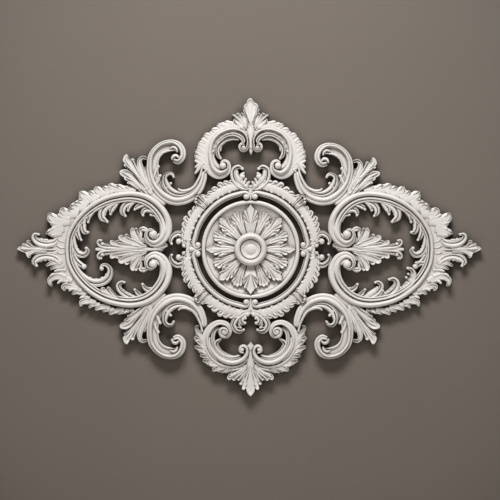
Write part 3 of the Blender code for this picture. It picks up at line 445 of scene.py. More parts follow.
AXIS_HOOKS = (
    ((248, 189, 2), (240.6, 186.4, 3.2), (234.8, 180.6, 3.3), (233, 174, 3), (234.2, 169.2, 2.6),
     (238.6, 167, 2.2), (242.4, 168.9, 1.3)),
    ((250.4, 188.6, 2.2), (246, 185.4, 3.2), (243.2, 181, 3.1), (242.4, 176.6, 2.2)),
    ((250, 310.6, 2.4), (243, 313.4, 3), (236.4, 318.4, 3.1), (233.2, 325, 3.1), (236, 330.2, 2.6),
     (240.4, 331.4, 1.9), (243.6, 329.6, 1.1)),
    ((250, 311.6, 2.4), (245, 314.4, 3.3), (241.4, 318.8, 3.4), (242.2, 322.6, 2.6), (244.9, 322.9, 1.3)),
    ((234.4, 324.6, 1.2), (236.6, 328, 1.4), (240.6, 327.4, 1)),
)
NORTH_LOBES = (
    ((243.6, 184.4, 1.4), (244.6, 181.6, 1.9), (245.9, 179.2, 1.3)),
    ((246.2, 186.4, 1.4), (247.5, 184.2, 1.9), (248.9, 182.4, 1.3)),
    ((240.6, 180, 1.6), (241.2, 176, 2.2), (243.2, 173.6, 1.6)),
)
NORTH_PLATE = ((247.5, 187, 1.6), (240.6, 182, 2.4), (236.8, 176, 2.6), (236.6, 172, 2.2))
SOUTH_PLATE = ((240.8, 317.4, 1.4), (239.2, 323.4, 2), (240.2, 328.4, 1.6))
SIDE_HOOKS = (
    ((191, 243.4, 2.6), (185, 236.8, 3), (178.4, 233.6, 2.9), (172.8, 236.4, 2.6), (170.7, 240.8, 1.9),
     (171.8, 243.8, 1.1)),
    ((191.4, 247.4, 2.4), (186.8, 242.8, 2.8), (181.8, 240, 2.5), (178.6, 241.2, 2.2)),
    ((190, 247.2, 1.6), (186.6, 246.6, 1.5), (184.2, 246.2, 1)),
)

# Where the ring meets each diagonal scroll: the rolled leaf, the leaf that ties them, and its lobes.
DIAGONAL_CURLS = (
    ((208.6, 205.4, 1.2), (204.4, 201.2, 1.7), (201, 197.8, 1.5), (198.6, 195.4, 1.5),
     (196.2, 196.6, 1.4), (196, 199.4, 1.2)),
    ((205.4, 208.6, 1), (201.2, 205.2, 1.5), (198.2, 203, 1.3), (196, 202.4, 1.1)),
)
TIE_LEAF = ((191, 191, 4), (195, 195.3, 5), (200, 200.5, 6))
TIE_LOBES = (
    ((205, 204.6, 2.2), (200, 199.4, 2.7), (197.4, 196.6, 2), (196.8, 195.8, 1.3)),
    ((207, 201.4, 1.8), (203.4, 198.4, 2.1), (201.6, 196.2, 1.4), (202.4, 195, 0.9)),
    ((202, 206.6, 1.8), (198.8, 203.4, 2.1), (196.4, 201.6, 1.4), (195.4, 202.4, 0.9)),
)

# The palmette above its axis: lobes, the hook at its tip, and the leaf at its root.
PALMETTE_LOBES = (
    ((146.4, 245.8, 1), (140, 243.4, 1.3), (132.8, 238.2, 1.3), (131.2, 234.6, 0.9)),
    ((147, 247.2, 1), (136, 245.2, 1.3), (125, 242.4, 1.3), (119.8, 239.4, 0.9)),
    ((144, 248.2, 1), (128, 247.2, 1.4), (115, 245.4, 1.2), (111, 243.4, 0.8)),
    ((144.6, 242.6, 0.8), (140.8, 237.6, 1), (137.4, 232, 0.8)),
    ((145, 245.2, 0.9), (136.4, 241.4, 1.1), (127, 237, 0.8)),
    ((142, 247, 1), (129, 244.6, 1.1), (118.4, 242.4, 0.8)),
    ((148.4, 233, 1), (146.8, 229.8, 1.4), (143.6, 227.7, 1.3), (140.8, 228.4, 0.9)),
    ((147, 231.4, 1.2), (144.4, 230.3, 1.7), (141.8, 230.2, 1.2)),
    ((147.4, 243.6, 1.1), (145.2, 240.8, 1.5), (143.4, 238.6, 1)),
    ((157, 249.4, 1.4), (146, 248.6, 1.5), (130, 248.1, 1.6), (112, 248, 1.8), (102, 248.6, 1.7),
     (96.6, 249.1, 1.3)),
)
PALMETTE_HOOK = (
    ((140, 248.4, 1.6), (120, 247.6, 2.5), (108, 246.8, 2.9), (101.6, 245.4, 2.9), (98.6, 242.6, 2.2),
     (99.6, 240.6, 1.6), (101.3, 240.6, 1)),
)
PALMETTE_ROOT = ((157, 249.4, 1.2), (152, 249.4, 1.6), (146, 249.4, 3), (138, 249.4, 4))

# Lobes of the leaf borders and of the finials, each from its root under the scroll to its tip.
UPPER_LOBES = (
    ((70, 222.5, 2), (60, 221.6, 3.4), (53, 218.8, 3.6), (49.8, 215.2, 2.4), (50.6, 213.6, 1.3)),
    ((66, 223.4, 1.6), (57, 223.8, 1.8), (52, 223, 1.5), (49.4, 221.6, 0.9)),
    ((70, 219, 1.6), (63, 217.6, 2), (58.8, 214.9, 1.4)),
    ((78, 214, 2.4), (70, 214.4, 3.2), (65, 213, 3.4), (62.4, 210.6, 2.6), (63.4, 209, 1.4)),
    ((79, 211.6, 2), (73, 211, 2.3), (69.4, 209.2, 1.5)),
    ((86, 208, 2.2), (79, 207.6, 3.2), (73.4, 206.6, 2.5), (71.2, 205.6, 1.4)),
    ((87, 206, 2), (80.4, 204.8, 2.9), (76, 203.2, 1.9)),
    ((89, 203.6, 2), (83.6, 202, 2.9), (79.8, 200.8, 1.9)),
    ((96, 201, 2.6), (88.6, 199, 3.5), (83, 195.4, 3.3), (81, 192.8, 1.9)),
    ((99, 198.6, 2), (94, 196, 2.6), (90.4, 192.2, 1.6)),
    ((109, 195.6, 2.6), (102.6, 194.6, 3.5), (97.8, 191, 3.1), (96.4, 188, 1.8)),
    ((113, 193.4, 2), (108, 191.2, 2.6), (104, 187.4, 1.5)),
    ((122, 192.6, 2.6), (115.6, 190.4, 3.3), (110.8, 186.6, 2.7), (109.8, 184.9, 1.6)),
    ((124, 191.6, 1.6), (118.4, 188.8, 2), (113.9, 185.6, 1.1)),
    ((127, 192.4, 2), (121.6, 189, 2.5), (117.6, 186, 1.4)),
    ((131, 192, 1.6), (126, 189.6, 1.9), (122, 187.4, 1.1)),
    ((135, 192.4, 1.8), (130, 189.6, 2.2), (126.6, 187, 1.3)),
    ((62, 226, 1.6), (56.5, 227.2, 1.8), (52, 229.4, 1)),
    ((64, 229, 2.2), (56, 230.8, 2.7), (49.4, 232.6, 2), (46.8, 233, 1.2)),
    ((62, 233, 1.8), (56, 234, 2), (51.4, 235.6, 1.2)),
)
LOWER_LOBES = (
    ((62, 262, 2.2), (53, 262.8, 2.5), (47.2, 265.2, 1.4)),
    ((64, 266, 2), (56, 266.8, 2.3), (51.2, 268.8, 1.2)),
    ((66, 270, 1.6), (59.6, 270, 1.9), (55, 271.2, 1)),
    ((72, 281, 2), (63, 277.4, 3), (55.4, 276.6, 3.5), (50.4, 279.6, 3), (50.2, 283.2, 2.2),
     (51.4, 285.2, 1.3)),
    ((66, 276.6, 1.6), (58, 273.8, 1.9), (52.6, 274.6, 1.5), (50.4, 276.4, 1)),
    ((68, 282, 1.8), (61.6, 280.6, 1.9), (58.2, 283, 1.2)),
    ((82, 290.6, 2), (73, 287.6, 2.9), (66.4, 286, 3), (63.6, 286.8, 2.7), (64.6, 289.2, 1.7)),
    ((77, 290, 1.5), (72, 289, 1.8), (69.6, 290.4, 1.1)),
    ((86, 294.4, 2), (78, 291.8, 2.5), (73.4, 293.4, 1.5)),
    ((90, 298.2, 1.8), (84, 296.6, 1.9), (80.4, 297.9, 1)),
    ((96, 302.4, 2), (88, 301, 3.1), (82.2, 302, 2.9), (81, 304.6, 1.7)),
    ((100, 304.8, 2), (93.4, 304.4, 2.3), (89.8, 307, 1.4)),
    ((110, 308, 2.4), (102, 306.8, 3.1), (97, 308.6, 2)),
    ((114, 309.6, 2), (107.6, 309.4, 2.3), (103.8, 311.2, 1.2)),
    ((124, 310, 2.2), (116, 310.8, 2.7), (110.8, 313.2, 1.8)),
    ((129, 310.6, 1.8), (122.6, 311.4, 2.3), (118.8, 313.6, 1.2)),
    ((134, 310.2, 1.6), (128.4, 310.8, 1.9), (124.8, 312.6, 1.1)),
)
TOP_LOBES = (
    ((243, 127.9, 1.4), (234.6, 125.2, 1.5), (230.8, 123, 0.9)),
    ((240.1, 128.8, 1.6), (231, 125.8, 2.6), (225.8, 123.4, 2)),
    ((237.5, 130.4, 1.6), (227.2, 127.4, 2), (221.6, 123.9, 1.3)),
    ((235.1, 131.6, 1.8), (223.6, 128.8, 2.5), (218.2, 125.4, 1.6)),
    ((228.6, 134, 1.8), (218.4, 132, 3.1), (213.4, 130.8, 1.9)),
    ((223.2, 138.3, 1.6), (214.2, 135.2, 1.8), (210.4, 132.9, 1)),
    ((218.8, 142.4, 1.8), (210.4, 138.4, 3.1), (206.2, 135.8, 2.1)),
    ((215.1, 147.4, 1.8), (206.8, 142.4, 2), (202.4, 139, 1.1)),
    ((213, 152.6, 1.6), (204.8, 146.6, 3), (200.4, 143.6, 2)),
    ((211, 158.5, 1.5), (202.6, 150.4, 1.9), (198.4, 146.6, 1.1)),
    ((210, 163.6, 1.8), (201.6, 155.2, 2.5), (196.6, 151.2, 1.6)),
    ((209, 167.7, 1.6), (200.6, 159, 2.3), (196, 155.2, 1.5)),
)
TOP_LAST_LOBES = (
    ((207.6, 170.3, 1.8), (201.4, 164.6, 2.2), (196, 161, 1.6)),
    ((204.4, 163.6, 1.6), (199.6, 164.6, 2), (196, 167.2, 1.3)),
    ((203.4, 162.6, 1.8), (199.8, 166.8, 2), (197.6, 170.6, 1.8), (195.6, 173, 1.2)),
    ((208, 165, 2.2), (206.6, 169.6, 2), (204.8, 172, 1.2)),
)
BOTTOM_LOBES = (
    ((210.3, 346.5, 2), (201, 335.6, 2.8), (197, 330, 2.1), (196.4, 326.8, 1.4), (198, 326, 0.9)),
    ((210, 351.9, 2), (200.4, 342, 3.1), (195.9, 338, 2)),
    ((212, 355.6, 2), (201.8, 349.4, 2.9), (196.5, 347.1, 1.8)),
    ((208, 346.9, 1.4), (199.6, 340.4, 1.6), (196, 341, 0.9)),
    ((215.5, 358, 1.8), (205.6, 356.3, 2.3), (201.5, 355.6, 1.5)),
    ((218.6, 361.9, 2), (208.4, 361.6, 2.5), (204.2, 360.5, 1.6)),
    ((223.3, 364.4, 1.6), (214, 365.6, 2), (210.1, 364.8, 1.3)),
    ((228.8, 365.8, 2), (218, 368, 3), (214, 369.4, 2.1)),
    ((234.1, 367, 1.8), (225.4, 369.8, 2.3), (222.1, 371.5, 1.5)),
)
TOP_FINIAL_LOBES = (
    ((249.4, 122, 1), (247, 113, 1.1), (245, 107.6, 0.8)),
    ((248.4, 125, 1), (245.8, 117, 1.1), (244, 111.8, 0.8)),
    ((247, 127, 1.2), (242.6, 119.6, 1.3), (239.6, 115, 0.9)),
    ((246.6, 129, 1.4), (240, 121, 1.6), (234.4, 115.8, 1)),
    ((245, 130, 1.4), (239.4, 125, 1.6), (235.4, 122, 1.1)),
    ((246, 128, 1), (241, 121.4, 1.1), (237, 117, 0.8)),
)
BOTTOM_FINIAL_LOBES = (
    ((249.6, 376, 1), (246.8, 383.6, 1.1), (244, 387.8, 0.8)),
    ((249.2, 372, 1), (245.2, 378.8, 1.1), (241, 383.3, 0.8)),
    ((248.4, 368, 1.1), (243.4, 374.8, 1.2), (239.8, 378.9, 0.9)),
    ((247.4, 367, 1.1), (240.6, 373.6, 1.3), (234.4, 378.6, 0.9)),
    ((247, 366, 1.3), (238.4, 371.6, 1.7), (229.6, 377, 1.2)),
    ((246.4, 365, 1.2), (238.4, 368.4, 1.5), (231.4, 370.3, 1)),
)
CORNER_SPRAY = (
    ((150, 194, 1.3), (140, 178, 1.7), (131, 167, 1.7), (126.4, 160.4, 1.3), (126, 157.4, 0.9)),
    ((146.6, 186, 1.2), (137.8, 170, 1.4), (133.8, 161.4, 1)),
    ((141, 179, 1), (132, 170.4, 1.2), (126, 164.8, 0.8)),
    ((152, 194, 1.8), (145.4, 180, 3.6), (140.6, 168.6, 3.5), (139.6, 161.6, 2.6), (142.4, 157.8, 1.9),
     (146.2, 158.4, 1.4)),
    ((152, 190, 1.4), (147.4, 178, 2.3), (145.2, 170, 1.8), (144.8, 168, 1.2)),
    ((150, 197, 1.3), (138.4, 184.4, 1.6), (129.6, 176.6, 1.6), (123.6, 172.8, 1.1), (121.6, 172, 0.8)),
    ((148, 197, 1.2), (137.4, 188.4, 1.4), (131, 184.2, 1.2), (129, 183.2, 0.8)),
    ((146, 193, 1), (134.6, 182, 1.3), (127.2, 178, 0.9)),
)

# Fans of leaf: a root and an outline. An outline point's third number is the height of the rim
# there as a share, less at the notches.
WEST_TIP_FAN = (
    ((36, 249.4), ((47, 246.9, 1), (40, 246, 1), (34.6, 245.6, 1), (32.2, 243.6, 1), (30.4, 241, 1),
        (28.2, 240, 1), (26.4, 241.4, 1), (26.4, 243.6, NOTCH), (24, 243, 1), (21.8, 244.4, 1),
        (22, 246, NOTCH), (19.6, 246.6, 1), (17.3, 248.9, 1.04), (20, 250.8, 1), (23, 252.2, NOTCH),
        (25.4, 253, 1), (27, 256.4, 1), (29, 258, 1), (31, 256.6, 1), (33, 254.4, 1), (38, 253.4, 1),
        (47, 252.4, 1))),
)
LEFT_FAN = (
    ((115, 298.4), ((112, 302, 1), (105.4, 296.6, 1), (101.6, 292, 1), (100.8, 289, 1), (102.2, 287.2, 1),
        (104.4, 287.4, 1), (106, 289, NOTCH), (107.4, 287, 1), (109.4, 286.9, 1), (110.6, 288.6, 1),
        (114, 292.4, 1), (119, 296.4, 1), (123, 300, 1))),
)
PALMETTE_FANS = (
    ((141, 243), ((147.4, 248.2, 1), (141, 245, 1), (135, 240, 1), (131, 235.4, 1), (130.2, 231.4, 1),
        (131.2, 228.7, 1), (133, 227.7, 1), (134.4, 228.6, NOTCH), (136, 227.7, 1), (137.4, 228.5, 1),
        (138.4, 230.1, NOTCH), (139.4, 228.2, 1), (141.6, 227.2, 1), (143.2, 229.5, 0.95),
        (142.7, 233, 0.85), (143, 236.6, 0.85), (144.6, 239.8, 0.9), (146.2, 243.4, 0.95),
        (148, 246.8, 1))),
    ((145.6, 247), ((146, 248.6, 1), (138, 247.2, 1), (128, 243.8, 1), (121, 241.2, 1), (118.7, 239.2, 1),
        (118.3, 237.3, 1), (119.8, 235.4, 1), (122.2, 235, 1), (124.2, 236.5, NOTCH), (124.9, 234.7, 1),
        (126.4, 233.8, 1), (128.4, 234.4, 1), (130, 236.6, 0.95), (133.6, 240.2, 0.92), (140, 244, 0.95),
        (147, 246.2, 1))),
    ((140, 248), ((140, 249.4, 1), (130, 248.6, 1), (120, 247.6, 1), (114, 246.4, 1), (110.6, 244.6, 1),
        (109.9, 242.4, 1), (110.4, 240.8, 1), (112.2, 240.1, 1), (114.6, 241.8, NOTCH), (116.2, 240.7, 1),
        (118.4, 240.1, 1), (121, 241.4, 0.95), (127, 243.6, 0.92), (134, 246, 0.95), (141, 247, 1))),
)
CORNER_FANS = (
    ((146, 187), ((145, 191, 1), (136, 178, 1), (128.6, 169.4, 1), (124, 165.4, 1), (125, 163.6, NOTCH),
        (123, 161.2, 1), (123.6, 157.6, 1), (125.4, 155, 1), (127.2, 154.6, 1), (128.8, 157, 1),
        (130.4, 159.4, NOTCH), (132, 158.6, 1), (133.8, 158.9, 1), (135.4, 162, 1), (138, 169, 0.95),
        (143, 178, 0.95), (149.6, 189, 1))),
    ((146, 191), ((148, 196, 1), (140, 190, 1), (133, 185.8, 1), (128.8, 184.4, 1), (127.1, 182.8, 1),
        (128.6, 181, NOTCH), (125, 180, 1), (124, 177.8, 1), (123.6, 176.6, NOTCH), (121.2, 175.6, 1),
        (119.7, 173.2, 1), (120.2, 171, 1), (122.6, 169.8, 1), (127, 169.8, 1), (133, 173.6, 0.95),
        (140, 181, 0.95), (148.6, 190.6, 1))),
)
TOP_FINIAL_FAN = (
    ((250.8, 125), ((247.4, 128, 1), (247.6, 121, 1), (246, 115.6, 1), (243.9, 112.6, 0.95),
        (243.1, 110.6, 1), (244, 109.2, NOTCH), (243.6, 107.4, 1), (244.6, 105, 1), (246.2, 103.6, 0.93),
        (247, 101.4, 1), (248.6, 99.2, 1), (250.6, 98.5, 1.04), (252.4, 99.9, 1), (254.4, 102.6, 0.93),
        (256.8, 104, 1), (258.4, 106.4, 1), (258.6, 108.4, NOTCH), (259.4, 110.4, 1), (258.2, 113, 1),
        (255.8, 117, 0.97), (254.2, 121.6, 1), (254.2, 128, 1))),
)
TOP_SIDE_FAN = (
    ((245.6, 126), ((249.4, 128, 1), (248.6, 122, 1), (246.2, 117, 1), (243.6, 113.8, 1), (241.6, 113, 1),
        (240.3, 114.6, NOTCH), (238.8, 113.1, 1), (236.4, 113.6, 1), (235.4, 114.9, NOTCH),
        (232.8, 114.4, 1), (232.9, 115.9, 1), (235.2, 118.6, NOTCH), (233.8, 119.4, 1), (233.1, 121.6, 1),
        (234.6, 123.6, 1), (238, 125.6, 1), (242.4, 129, 1))),
)
BOTTOM_SIDE_FAN = (
    ((245.6, 368.4), ((248.6, 364.6, 1), (243, 365.8, 1), (236, 367.2, 1), (231.4, 368.4, 1),
        (229.2, 370.4, 1), (230.8, 372.4, NOTCH), (228.6, 374.4, 1), (227.1, 377.2, 1), (227.9, 379.4, 1),
        (229.8, 379.8, 1), (231.3, 378.6, NOTCH), (233, 380.4, 1), (235.2, 380.2, 1), (236.6, 379, NOTCH),
        (238.4, 380.6, 1), (240.4, 379.4, 1), (243.6, 375.4, 1), (246.6, 371.4, 1), (249, 367.4, 1))),
)
BOTTOM_FAN_ROOT = (MIDLINE, 364)
BOTTOM_HALF_FAN = (
    (245.8, 362, 0.9), (246.6, 368, 1), (245.2, 374.6, 0.97), (242.8, 379, 0.9), (240.4, 381.4, 1),
    (239.4, 383.6, 1), (240.8, 385, 1), (242.8, 384.4, NOTCH), (241.8, 387, 1), (242.3, 389.4, 1),
    (244.4, 389.6, 1), (246, 388.2, NOTCH), (246.4, 390.6, 1), (247.8, 393.4, 1), (250.5, 396, 1.03),
)

# The finishes: noise as (scale in repeats a metre, detail, roughness), limits of ramps, rays of the
# painted shade in hollows, and how far the surface varies.
PLASTER = "painted plaster"
CLOUDS = (7.0, 3, 0.6)
CLOUD_RAMP = (0.36, 0.64)
SPECKS = (160.0, 2, 0.6)
SPECK_RAMP = (0.66, 0.74)
# Painted shade: the plaster takes the dark colour in hollows and creases, where shade falls.
PAINTED_SHADE_RAMP = (0.22, 0.86)
PAINTED_SHADE_RAYS = 6
ROUGHER = 0.2
GRAIN = (420.0, 5, 0.7)
GRAIN_DEPTH = 0.0006
GRAIN_SHARE = 0.6
CLOUD_SHARE = 0.4
PAINT_CLOUDS = (3.0, 4, 0.6)
PAINT_ROUGHNESS = 0.85
PALER = 1.12
# Painted shade on the wall close to the rose: its colour, reach, ramp and rays.
WALL_SHADE_COLOUR = (0.012, 0.009, 0.007, 1)
WALL_SHADE_REACH = 0.036
WALL_RAMP = (0.3, 0.97)
WALL_RAYS = 12
# Painted shade on the wall far from the middle: its colour, strength and how fast it grows.
WALL_FALLOFF_SHADE = (0.03, 0.025, 0.021, 1)
WALL_FADE = 0.26
WALL_FADE_POWER = 4

# Sockets of a Mix node that mixes colours: factor, both colours, and the result.
MIX_SOCKETS = (0, 6, 7)
MIX_RESULT = 2

# The studio, in metres: the wall just behind the rose, the floor, two lamps and the camera.
WALL = ((-1.6, 0.0006, -0.76), (1.6, 0.0006, -0.76), (1.6, 0.0006, 1.3), (-1.6, 0.0006, 1.3))
FLOOR = ((-2.5, 2.0, -0.76), (-2.5, -3.5, -0.76), (2.5, -3.5, -0.76), (2.5, 2.0, -0.76))
LAMP_COLOUR = (1, 0.99, 0.98)
KEY_PLACE = (-0.12, -2.0, 2.75)
KEY_SIZE = (1.8, 0.8)
FILL_PLACE = (0.4, -3.6, 0.0)
FILL_SIZE = (2.4, 2.4)
CAMERA_PLACE = (-0.0017, -5.85, -0.0017)
CAMERA_LENS = 150


def on_plan(rows, side=-1, level=1):
    """Grid points as plan positions in millimetres; side 1 mirrors left to right, level -1 down."""
    rows = np.asarray(rows, float)
    across = (rows[..., 0] - MIDDLE[0]) * STEP
    up = (MIDDLE[1] - rows[..., 1]) * STEP
    if side > 0:
        if level > 0:
            slump = SLUMP * np.clip((up - SLUMP_LOW) / (SLUMP_HIGH - SLUMP_LOW), 0, 1)
            up = up - np.where(rows[..., 0] < SLUMP_FROM, slump, 0)
        across = -across * RIGHT_SHARE
    return np.stack((across, up * level), -1)


def curve_through(points):
    """A smooth curve through rows of numbers, each stretch cut into equal shares."""
    rows = np.array(points, float)
    rows = np.vstack((2 * rows[0] - rows[1], rows, 2 * rows[-1] - rows[-2]))
    a, b, c, d = rows[:-3, None], rows[1:-2, None], rows[2:-1, None], rows[3:, None]
    t = (np.arange(CURVE_CUTS) / CURVE_CUTS)[None, :, None]
    path = 0.5 * (2 * b + (c - a) * t + (2 * a - 5 * b + 4 * c - d) * t ** 2
                  + (3 * b - a - 3 * c + d) * t ** 3)
    return np.vstack((path.reshape(-1, rows.shape[1]), rows[-2]))


def reaches(path):
    """Distance along a path to each of its points, from their first two numbers."""
    steps = np.linalg.norm(np.diff(path[:, :2], axis=0), axis=1)
    return np.concatenate(((0.0,), np.cumsum(steps)))


def sampled(path, share, count):
    """Points at an even spacing over a share of a path's length."""
    reach = reaches(path)
    goals = np.linspace(0, reach[-1] * share, count)
    return np.stack([np.interp(goals, reach, column) for column in path.T], -1)


def evenly(path, spacing):
    """The same path with points at an even spacing."""
    return sampled(path, 1, max(FEWEST_ROWS, round(reaches(path)[-1] / spacing) + 1))


def crown(ridges, edge, cuts):
    """Cross-section from edge to edge: shares of the height, highest of several round ridges."""
    place = np.linspace(-1, 1, cuts)
    place = 0.5 * (place + np.sin(place * math.pi / 2))
    height = np.full(cuts, float(edge))
    for centre, half, top in ridges:
        inside = np.clip(1 - ((place - centre) / half) ** 2, 0, None)
        height = np.maximum(height, edge + (top - edge) * np.sqrt(inside))
    return np.stack((place, height))


def round_top(edge, cuts):
    """A cross-section with one round ridge."""
    return crown(((0, 1, 1),), edge, cuts)


def facing(section):
    """A cross-section, or each of several along a strand, turned the other way round."""
    if isinstance(section, tuple):
        return tuple((stop, facing(shape)) for stop, shape in section)
    return np.stack((-section[0][::-1], section[1][::-1]))


def blended(section, shares):
    """The cross-section at each share of a strand's length, when it turns from one to another."""
    if not isinstance(section, tuple):
        return np.repeat(section[None], len(shares), axis=0)
    stops = np.array([stop for stop, _ in section], float)
    shapes = np.stack([shape for _, shape in section])
    first = np.clip(np.searchsorted(stops, shares) - 1, 0, len(stops) - 2)
    t = np.clip((shares - stops[first]) / (stops[first + 1] - stops[first]), 0, 1)
    t = (t * t * (3 - 2 * t))[:, None, None]
    return shapes[first] * (1 - t) + shapes[first + 1] * t


def solid(rows):
    """A closed body from cross-sections: rows of (x, z, height), each a ring of points."""
    count, around = rows.shape[:2]
    index = np.arange(count * around).reshape(count, around)
    ahead = np.roll(index, -1, axis=1)
    quads = np.stack((index[:-1], ahead[:-1], ahead[1:], index[1:]), -1).reshape(-1, 4)
    first, last = count * around, count * around + 1
    near = np.stack((ahead[0], index[0], np.full(around, first)), -1)
    far = np.stack((index[-1], ahead[-1], np.full(around, last)), -1)
    verts = np.vstack((rows.reshape(-1, 3), rows[(0, -1), :].mean(axis=1)))
    return verts, quads, np.vstack((near, far))


def ring_solid(rows):
    """A closed body whose last cross-section meets the first again."""
    count, around = rows.shape[:2]
    index = np.arange(count * around).reshape(count, around)
    onward = np.roll(index, -1, axis=0)
    quads = np.stack((index, np.roll(index, -1, axis=1), np.roll(onward, -1, axis=1), onward), -1)
    return rows.reshape(-1, 3), quads.reshape(-1, 4), np.empty((0, 3), int)


def nose(row, ahead, top):
    """Rows that round off the end of a strand, their heights, and how far each is squeezed."""
    angles = np.radians(NOSE_ANGLES)
    place = row[:2] + ahead * row[2] * np.sin(angles)[:, None]
    rows = np.column_stack((place, row[2] * np.cos(angles)))
    return rows, top * (1 - NOSE_DROP * (1 - np.cos(angles))), np.sqrt(np.cos(angles))


def rounded(flat, top, at_start):
    """A strand's rows with round noses added, with their directions, heights and squeeze."""
    ahead = np.gradient(flat[:, :2], axis=0)
    ahead /= np.linalg.norm(ahead, axis=1)[:, None]
    rows, tops, squeeze = nose(flat[-1], ahead[-1], top[-1])
    squeeze = np.concatenate((np.ones(len(flat)), squeeze))
    ends = np.repeat(ahead[-1:], len(rows), axis=0)
    new_flat, new_ahead = np.vstack((flat, rows)), np.vstack((ahead, ends))
    new_top = np.concatenate((top, tops))
    if at_start:
        rows, tops, shares = nose(flat[0], -ahead[0], top[0])
        starts = np.repeat(ahead[:1], len(rows), axis=0)
        new_flat, new_ahead = np.vstack((rows[::-1], new_flat)), np.vstack((starts, new_ahead))
        new_top = np.concatenate((tops[::-1], new_top))
        squeeze = np.concatenate((shares[::-1], squeeze))
    return new_flat, new_ahead, new_top, squeeze


def half_widths(flat, ahead):
    """A strand's half widths to the left and the right, kept narrow inside tight bends."""
    turn = np.unwrap(np.arctan2(ahead[:, 1], ahead[:, 0]))
    bend = np.gradient(turn) / np.maximum(np.gradient(reaches(flat)), TINY)
    bend = np.pad(bend, BEND_WINDOW // 2, mode="edge")
    bend = np.convolve(bend, np.ones(BEND_WINDOW) / BEND_WINDOW, "valid")
    return [np.minimum(flat[:, 2], TIGHTEST / np.maximum(sign * bend, TINY)) for sign in (1, -1)]


def strand(points, section, heights, side=-1, level=1, spacing=ROW_SPACING, foot=0.0,
           round_start=False, rim=False):
    """A band along a curve with the given cross-section, rounded at its end.

    heights are (share of the length, height) pairs, or a single height.
    """
    path = curve_through(points)
    path = np.column_stack((on_plan(path[:, :2], side, level), path[:, 2] * STEP))
    flat = evenly(path, spacing)
    reach = reaches(flat)
    if np.isscalar(heights):
        heights = ((0, heights), (1, heights))
    top = np.interp(reach / reach[-1], *zip(*heights))
    flat, ahead, top, squeeze = rounded(flat, top, round_start)
    out = np.stack((-ahead[:, 1], ahead[:, 0]), -1)
    left, right = half_widths(flat, ahead)
    if (side > 0) != (level < 0):
        left, right, out = right, left, -out
    along = reaches(flat)
    shapes = blended(section, along / along[-1])
    place, share = shapes[:, 0], shapes[:, 1]
    offset = -np.where(place < 0, left[:, None], right[:, None]) * place
    if rim:
        lift = share + (1 - share) * np.clip(RIM_RISE * (1 - squeeze), 0, 1)[:, None]
    else:
        edge = share.min(axis=1, keepdims=True)
        lift = edge + (share - edge) * squeeze[:, None]
    crest = np.empty((len(flat), place.shape[1], 3))
    crest[..., :2] = flat[:, None, :2] + out[:, None, :] * offset[..., None]
    crest[..., 2] = foot + lift * (top[:, None] - foot)
    base = crest[:, (-1, 0)].copy()
    base[..., :2] += (flat[:, None, :2] - base[..., :2]) * UNDERCUT
    base[..., 2] = foot
    return solid(np.concatenate((crest, base), axis=1))


def strands(table, side=-1, level=1):
    """Strands from rows of (curve, cross-section, height)."""
    return [strand(points, section, heights, side, level) for points, section, heights in table]


def fan(root, outline, low, high, side, level, hollow):
    """A leaf that spreads from its root to an outline, hollow inside a raised rim."""
    path = curve_through(outline)
    flat = evenly(np.column_stack((on_plan(path[:, :2], side, level), path[:, 2])), FAN_SPACING)
    middle = on_plan(root, side, level)
    rows = []
    for share, dip in ((1, 0), *FAN_RINGS):
        row = np.empty((len(flat), 3))
        row[:, :2] = middle + (flat[:, :2] - middle) * share
        row[:, 2] = low + (high * flat[:, 2] - low) * share - hollow * dip
        rows.append(row)
    rows[0][:, 2] = 0
    return solid(np.stack(rows))


def fans(shapes, rise, side=-1, level=1, hollow=FAN_HOLLOW):
    """Several fans of the same height."""
    return [fan(root, outline, *rise, side, level, hollow) for root, outline in shapes]


def circles(radii, heights, around):
    """Level rings of points round the middle, one for each radius and height."""
    turns = np.linspace(0, math.tau, around, endpoint=False)
    rows = np.empty((len(radii), around, 3))
    rows[..., 0] = radii[:, None] * np.cos(turns)
    rows[..., 1] = radii[:, None] * np.sin(turns)
    rows[..., 2] = heights[:, None]
    return rows


def ball(centre, radius, top, side=-1, level=1, around=BALL_SIDES):
    """An eye or bead: an upright drum with a round top, standing on the back plane."""
    reach = radius * STEP
    rise = min(reach * BALL_RISE, top * (1 - BALL_WAIST))
    angles = np.linspace(0, math.pi / 2, BALL_CUTS)[:-1]
    radii = np.concatenate(((reach * DRUM,), reach * np.cos(angles), (reach * BALL_PIN,)))
    heights = np.concatenate(((0.0,), top - rise + rise * np.sin(angles), (top,)))
    rows = circles(radii, heights, around)
    rows[..., :2] += on_plan(centre, side, level)
    return solid(rows)


def balls(table, side=-1, level=1):
    """Eyes and beads from rows of (across, down, radius, top)."""
    return [ball((across, down), radius, top, side, level) for across, down, radius, top in table]


def turned_boss(profile):
    """A round body on the hub's middle, from (radius, height) points outwards."""
    radii, heights = np.array(profile[::-1], float).T
    radii[-1] = HUB_PIN
    radii = np.concatenate((radii[:1], radii))
    return solid(circles(radii, np.concatenate(((0.0,), heights)), BOSS_SIDES))


def turned_ring(profile):
    """A ring round the hub's middle, from (radius, height) points outwards."""
    inner, outer = profile[0][0], profile[-1][0]
    radii, heights = np.array((*profile, (outer, 0), (inner, 0)), float).T
    return ring_solid(circles(radii, heights, RING_SIDES).swapaxes(0, 1))


def body_mesh(name, body):
    """A mesh of one body in metres, its faces pointing out."""
    verts, quads, tris = body
    places = np.stack((verts[:, 0], -verts[:, 2], verts[:, 1]), -1) * MM
    corners = places[np.vstack((quads[:, :3], quads[:, (0, 2, 3)], tris))]
    volume = np.einsum("ij,ij->i", corners[:, 0], np.cross(corners[:, 1], corners[:, 2])).sum()
    if volume < 0:
        quads, tris = quads[:, ::-1], tris[:, ::-1]
    mesh = bpy.data.meshes.new(name)
    mesh.from_pydata(places.tolist(), [], quads.tolist() + tris.tolist())
    return mesh


